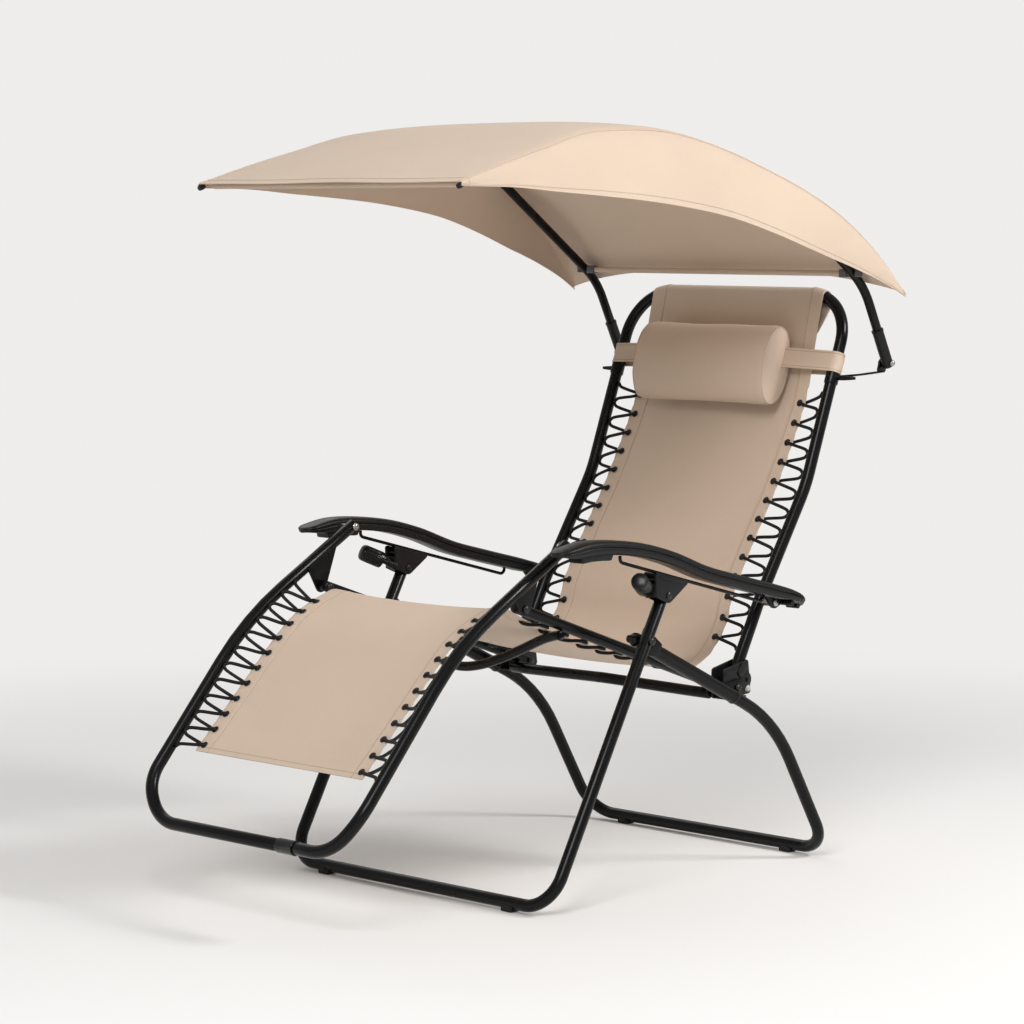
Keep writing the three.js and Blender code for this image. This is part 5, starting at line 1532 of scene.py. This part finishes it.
class LOUNGER_OT_canopy_cover(bpy.types.Operator):
    """The fabric cover: a crowned top, side panels under a seam along each arm, and hems all round"""
    bl_idname = "lounger.canopy_cover"
    bl_label = "Canopy Cover"

    # Steps down each side panel and across the top
    sides = 9
    tops = 44

    def execute(self, context):
        rows = self.hemmed(self.softened([self.row(row) for row in canopy_table(85)], 2))
        cover = sheet_grid("canopy_cloth", [[spot(*p) for p in row] for row in rows])
        use_modifier(cover, "SOLIDIFY", thickness=COVER_THICK, offset=-1)
        cover = smoothed(cover, 60)
        settle(cover, "canopy", "beige_fabric", "canopy_cover")
        self.seams(rows)
        return {"FINISHED"}

    def row(self, row):
        """Points of one row from the right hem over both ridges to the left hem"""
        points = []
        top_right = ridge_spot(row, -1)
        hem_right = hem_spot(row, -1)
        for n in range(self.sides):
            share = n / self.sides
            bulge = 5 * math.sin(math.pi * share) * min(1, (top_right - hem_right).length / 120)
            place = hem_right.lerp(top_right, share)
            points.append(place + Vector((-bulge, 0, 0)))
        for n in range(self.tops + 1):
            across = 2 * n / self.tops - 1
            points.append(ridge_spot(row, math.copysign(abs(across) ** 0.94, across)))
        return points + [Vector((-p.x, p.y, p.z)) for p in points[self.sides - 1::-1]]

    def softened(self, rows, rounds):
        """Rounds the cloth over the arms, and leaves the rest as it is"""
        ridges = (self.sides, self.sides + self.tops)
        for _ in range(rounds):
            softer = [list(row) for row in rows]
            for r, row in enumerate(rows):
                for ridge in ridges:
                    for c in (ridge - 1, ridge, ridge + 1):
                        softer[r][c] = row[c] * 0.6 + (row[c - 1] + row[c + 1]) * 0.2
            rows = softer
        return rows

    def hemmed(self, rows):
        """Lifts the hems by half the cloth's thickness and adds faint waves near the front and rear edges"""
        count = len(rows)
        width = len(rows[0])
        result = []
        for r, row in enumerate(rows):
            line = []
            for c, place in enumerate(row):
                ahead = rows[min(count - 1, r + 1)][c] - rows[max(0, r - 1)][c]
                across = row[min(width - 1, c + 1)] - row[max(0, c - 1)]
                normal = across.cross(ahead)
                normal = normal.normalized() if normal.length else Vector((0, 0, 1))
                if normal.z < 0:
                    normal = -normal
                hem = 0.8 if r in (0, 1, count - 1, count - 2) or c in (0, 1, width - 1, width - 2) else 0.0
                along_share = r / (count - 1)
                near_rear = math.exp(-((along_share - 1) / 0.12) ** 2)
                near_front = math.exp(-(along_share / 0.1) ** 2)
                x = place.x / CANOPY_HALF
                wave = 1.1 * near_rear * math.sin(9 * x + 4 * along_share) * (1 - x * x)
                wave += 0.9 * near_front * math.sin(7 * x + 1.3) * (1 - x * x)
                line.append(place + normal * (hem + wave))
            result.append(line)
        return result

    def flat_size(self, rows):
        middle = len(rows[0]) // 2
        long_way = sum((b[middle] - a[middle]).length for a, b in zip(rows, rows[1:]))
        half_way = rows[len(rows) // 2]
        wide = sum((b - a).length for a, b in zip(half_way, half_way[1:]))
        return (wide / 1000, long_way / 1000)

    def area(self, rows):
        total = 0.0
        for upper, lower in zip(rows, rows[1:]):
            for a, b, c, d in zip(upper, upper[1:], lower, lower[1:]):
                total += ((b - a).cross(c - a).length + (c - b).cross(d - b).length) / 2
        return total / 1e6

    def seams(self, rows):
        """A felled seam along each arm and the stitching of the hems"""
        for side, name, column in ((1, "left", self.sides + self.tops), (-1, "right", self.sides)):
            path = [spot(*(row[column] + Vector((0, 0, 0.5)))) for row in rows[::2]]
            settle(welt_tube(f"canopy_seam_{name}", path, 0.003), "canopy", "hem_fabric")
        count = len(rows)
        front = [spot(*(p + Vector((0, 0, 0.3)))) for p in rows[1]]
        rear = [spot(*(p + Vector((0, 0, 0.3)))) for p in rows[count - 2]]
        right = [spot(*(row[0].lerp(row[1], 0.7) + Vector((-0.3, 0, 0.2)))) for row in rows]
        left = [spot(*(row[-1].lerp(row[-2], 0.7) + Vector((0.3, 0, 0.2)))) for row in rows]
        lines = [tube("canopy_stitch", path, 0.0009, sides=6, rounded=False)
                 for path in (front, rear, right, left)]
        settle(joined("canopy_stitching", lines), "canopy", "thread")


class LOUNGER_OT_canopy_frame(bpy.types.Operator):
    """Bent canopy arms, their sleeves, brackets and bolts, the battens, clips and corner tips"""
    bl_idname = "lounger.canopy_frame"
    bl_label = "Canopy Frame"

    def execute(self, context):
        lean = unit(CANOPY_PIVOT, CANOPY_BEND)
        table = canopy_table(60)
        inner = [ridge_spot(row) + Vector((-11, 0, -11)) for row in table]
        ridge = [p for p in inner if CANOPY_FRONT + 30 < p.y < CANOPY_JOIN[0] - 60][::-1]
        bend = bent_path([(at(CANOPY_LANE, along(CANOPY_PIVOT, lean, 44)), 0),
                          (at(CANOPY_LANE, CANOPY_BEND), 150), (at(CANOPY_LANE, CANOPY_JOIN), 0)])
        knots = [at(CANOPY_LANE, CANOPY_JOIN)] + [spot(*p) for p in ridge[::4]]
        run = curve_through([bend[-2]] + knots, 5)[5:]
        arm = tube("canopy_arm_tube", bend[:-1] + run, 0.017, 20)
        settle_pair(arm, "canopy", "satin_black_paint", "canopy_arm")
        self.sleeve(lean)
        self.bracket()
        pivot = bolt("canopy_pin", CANOPY_PIVOT, CANOPY_LANE - 18.3, CANOPY_LANE + 14.4, 3.0, 5.5)
        settle_pair(pivot, "back", "zinc_steel", "canopy_pivot_bolt")
        self.battens(inner)
        tip = ridge_spot(table[0])
        corner = turned("canopy_tip", [(0, -5), (3.0, -4.4), (4.4, -3), (5.0, 0), (5.0, 7), (4.2, 9), (0, 9.5)],
                        spot(tip.x - 6, tip.y + 5, tip.z - 5), Vector((0.1, -1, -0.35)), 20)
        settle_pair(corner, "canopy", "black_plastic")
        return {"FINISHED"}

    def sleeve(self, lean):
        shell = tube("canopy_sleeve_shell", [at(CANOPY_LANE, along(CANOPY_PIVOT, lean, d)) for d in
                                             (-8, -4, 10, 30, 50, 65, 69)], 0.021, 20)
        collar = turned("canopy_sleeve_collar", [(10.0, 0), (11.2, 0.8), (11.2, 4.6), (10.2, 5.4), (8.6, 5.6)],
                        at(CANOPY_LANE, along(CANOPY_PIVOT, lean, 64)), Vector((0, *lean)), 28)
        sleeve = joined("canopy_sleeve_piece", [shell, collar])
        settle_pair(sleeve, "canopy", "black_plastic", "canopy_sleeve")

    def bracket(self):
        """A flat strip from the back tube out to the ear that carries the canopy's pivot"""
        y, z = CANOPY_PIVOT
        axis = unit(BACK_ELBOW, BACK_TOP)
        level = z - 26
        on_back = BACK_ELBOW[0] + (level - BACK_ELBOW[1]) * axis[0] / axis[1]
        ear_x = CANOPY_LANE - 10.5 - 0.3 - PLATE_THICK
        root_x = BACK_LANE + 6
        reach = ear_x + PLATE_THICK - root_x

        def strip_corner(share, side):
            depth = on_back + (y - 6 - on_back) * share ** 1.5 + side * (8 - 1.5 * share)
            return spot(root_x + reach * share, depth, level + 8 * share ** 2)

        shares = [n / 14 for n in range(15)]
        corners = [strip_corner(share, -1) for share in shares]
        corners += [strip_corner(share, 1) for share in reversed(shares)]
        strip = extruded("canopy_strip", corners, (0, 0, PLATE_THICK / 1000), 0.7)
        ear = plate("canopy_ear", hull([(y, z, 9), (y - 7, level + 14, 6), (y + 4, level + 14, 6)]),
                    ear_x, ear_x + PLATE_THICK)
        root = on_back + (y - 6 - on_back) * 0.12
        sections = ((10, 8, 4), (24, 8, 4), (40, 7, 3), (44, 6.4, 2.2))
        stub = loft("canopy_stub", [[spot(BACK_LANE + out, root + n * wide, level - 1 + m * thick)
                                     for n, m in ((-1, -1), (-1, 1), (1, 1), (1, -1))]
                                    for out, wide, thick in sections])
        clamp = turned("canopy_clamp", [(11.2, -13), (12.6, -12.2), (12.9, -10), (12.9, 10), (12.6, 12.2),
                                        (11.2, 13)], at(BACK_LANE, (on_back, level)), Vector((0, *axis)), 28)
        piece = joined("canopy_bracket_piece", [strip, ear, bevelled(stub, 0.8), clamp])
        settle_pair(piece, "back", "satin_black_paint", "canopy_bracket")

    def battens(self, inner):
        """Cross rods in pockets under the cover, with the plastic clips that hold the rear one"""
        near = min(inner, key=lambda p: abs(p.y - FRONT_BATTEN_Y))
        run = (CANOPY_BEND[0] - REAR_BATTEN_Y) / (CANOPY_BEND[0] - CANOPY_JOIN[0])
        rear_z = CANOPY_BEND[1] + run * (CANOPY_JOIN[1] - CANOPY_BEND[1])
        for end, y, z, half in (("front", FRONT_BATTEN_Y, near.z, near.x - 9.1),
                                ("rear", REAR_BATTEN_Y, rear_z, CANOPY_LANE - 8.8)):
            path = [spot(x, y, z) for x in (-half, -half / 2, 0, half / 2, half)]
            settle(welt_tube(f"{end}_batten_pocket", path, 0.0105), "canopy", "hem_fabric", f"{end}_batten")
        clips = []
        for name, x0, x1, deep, z0, z1 in (("batten_clip", -27, -9.4, 9, -7, 8),
                                           ("batten_clip_outer", 9.4, 17, 8, -6, 7)):
            lowest = (CANOPY_LANE + x0, REAR_BATTEN_Y - deep, rear_z + z0)
            highest = (CANOPY_LANE + x1, REAR_BATTEN_Y + deep, rear_z + z1)
            clips.append(block(name, lowest, highest, 2.0))
        settle_pair(joined("batten_clips", clips), "canopy", "clip_plastic")


class LOUNGER_PT_panel(bpy.types.Panel):
    """The lounger's pieces in the order in which they are made"""
    bl_idname = "LOUNGER_PT_panel"
    bl_label = "Reclining Sun Lounger"
    bl_space_type = "VIEW_3D"
    bl_region_type = "UI"
    bl_category = "Lounger"

    def draw(self, context):
        layout = self.layout
        for group in (context.scene.lounger_sizes, context.scene.lounger_colours):
            for key in group.__annotations__:
                layout.prop(group, key)
        for operator in OPERATORS:
            layout.operator(operator.bl_idname)


OPERATORS = (
    LOUNGER_OT_stage, LOUNGER_OT_lacing, LOUNGER_OT_legs, LOUNGER_OT_seat_frame, LOUNGER_OT_hub_plates,
    LOUNGER_OT_foot_frame, LOUNGER_OT_back_frame, LOUNGER_OT_sling, LOUNGER_OT_arms, LOUNGER_OT_locks,
    LOUNGER_OT_headrest, LOUNGER_OT_canopy_frame, LOUNGER_OT_canopy_cover,
)
CLASSES = (LoungerSizes, LoungerColours, *OPERATORS, LOUNGER_PT_panel)


def register():
    for kind in CLASSES:
        bpy.utils.register_class(kind)
    bpy.types.Scene.lounger_sizes = bpy.props.PointerProperty(type=LoungerSizes)
    bpy.types.Scene.lounger_colours = bpy.props.PointerProperty(type=LoungerColours)


def unregister():
    del bpy.types.Scene.lounger_colours
    del bpy.types.Scene.lounger_sizes
    for kind in reversed(CLASSES):
        bpy.utils.unregister_class(kind)


def main():
    register()
    bpy.ops.lounger.stage()
    bpy.ops.lounger.lacing()
    bpy.ops.lounger.legs()
    bpy.ops.lounger.seat_frame()
    bpy.ops.lounger.hub_plates()
    bpy.ops.lounger.foot_frame()
    bpy.ops.lounger.back_frame()
    bpy.ops.lounger.sling()
    bpy.ops.lounger.arms()
    bpy.ops.lounger.locks()
    bpy.ops.lounger.headrest()
    bpy.ops.lounger.canopy_frame()
    bpy.ops.lounger.canopy_cover()


if __name__ == "__main__":
    main()
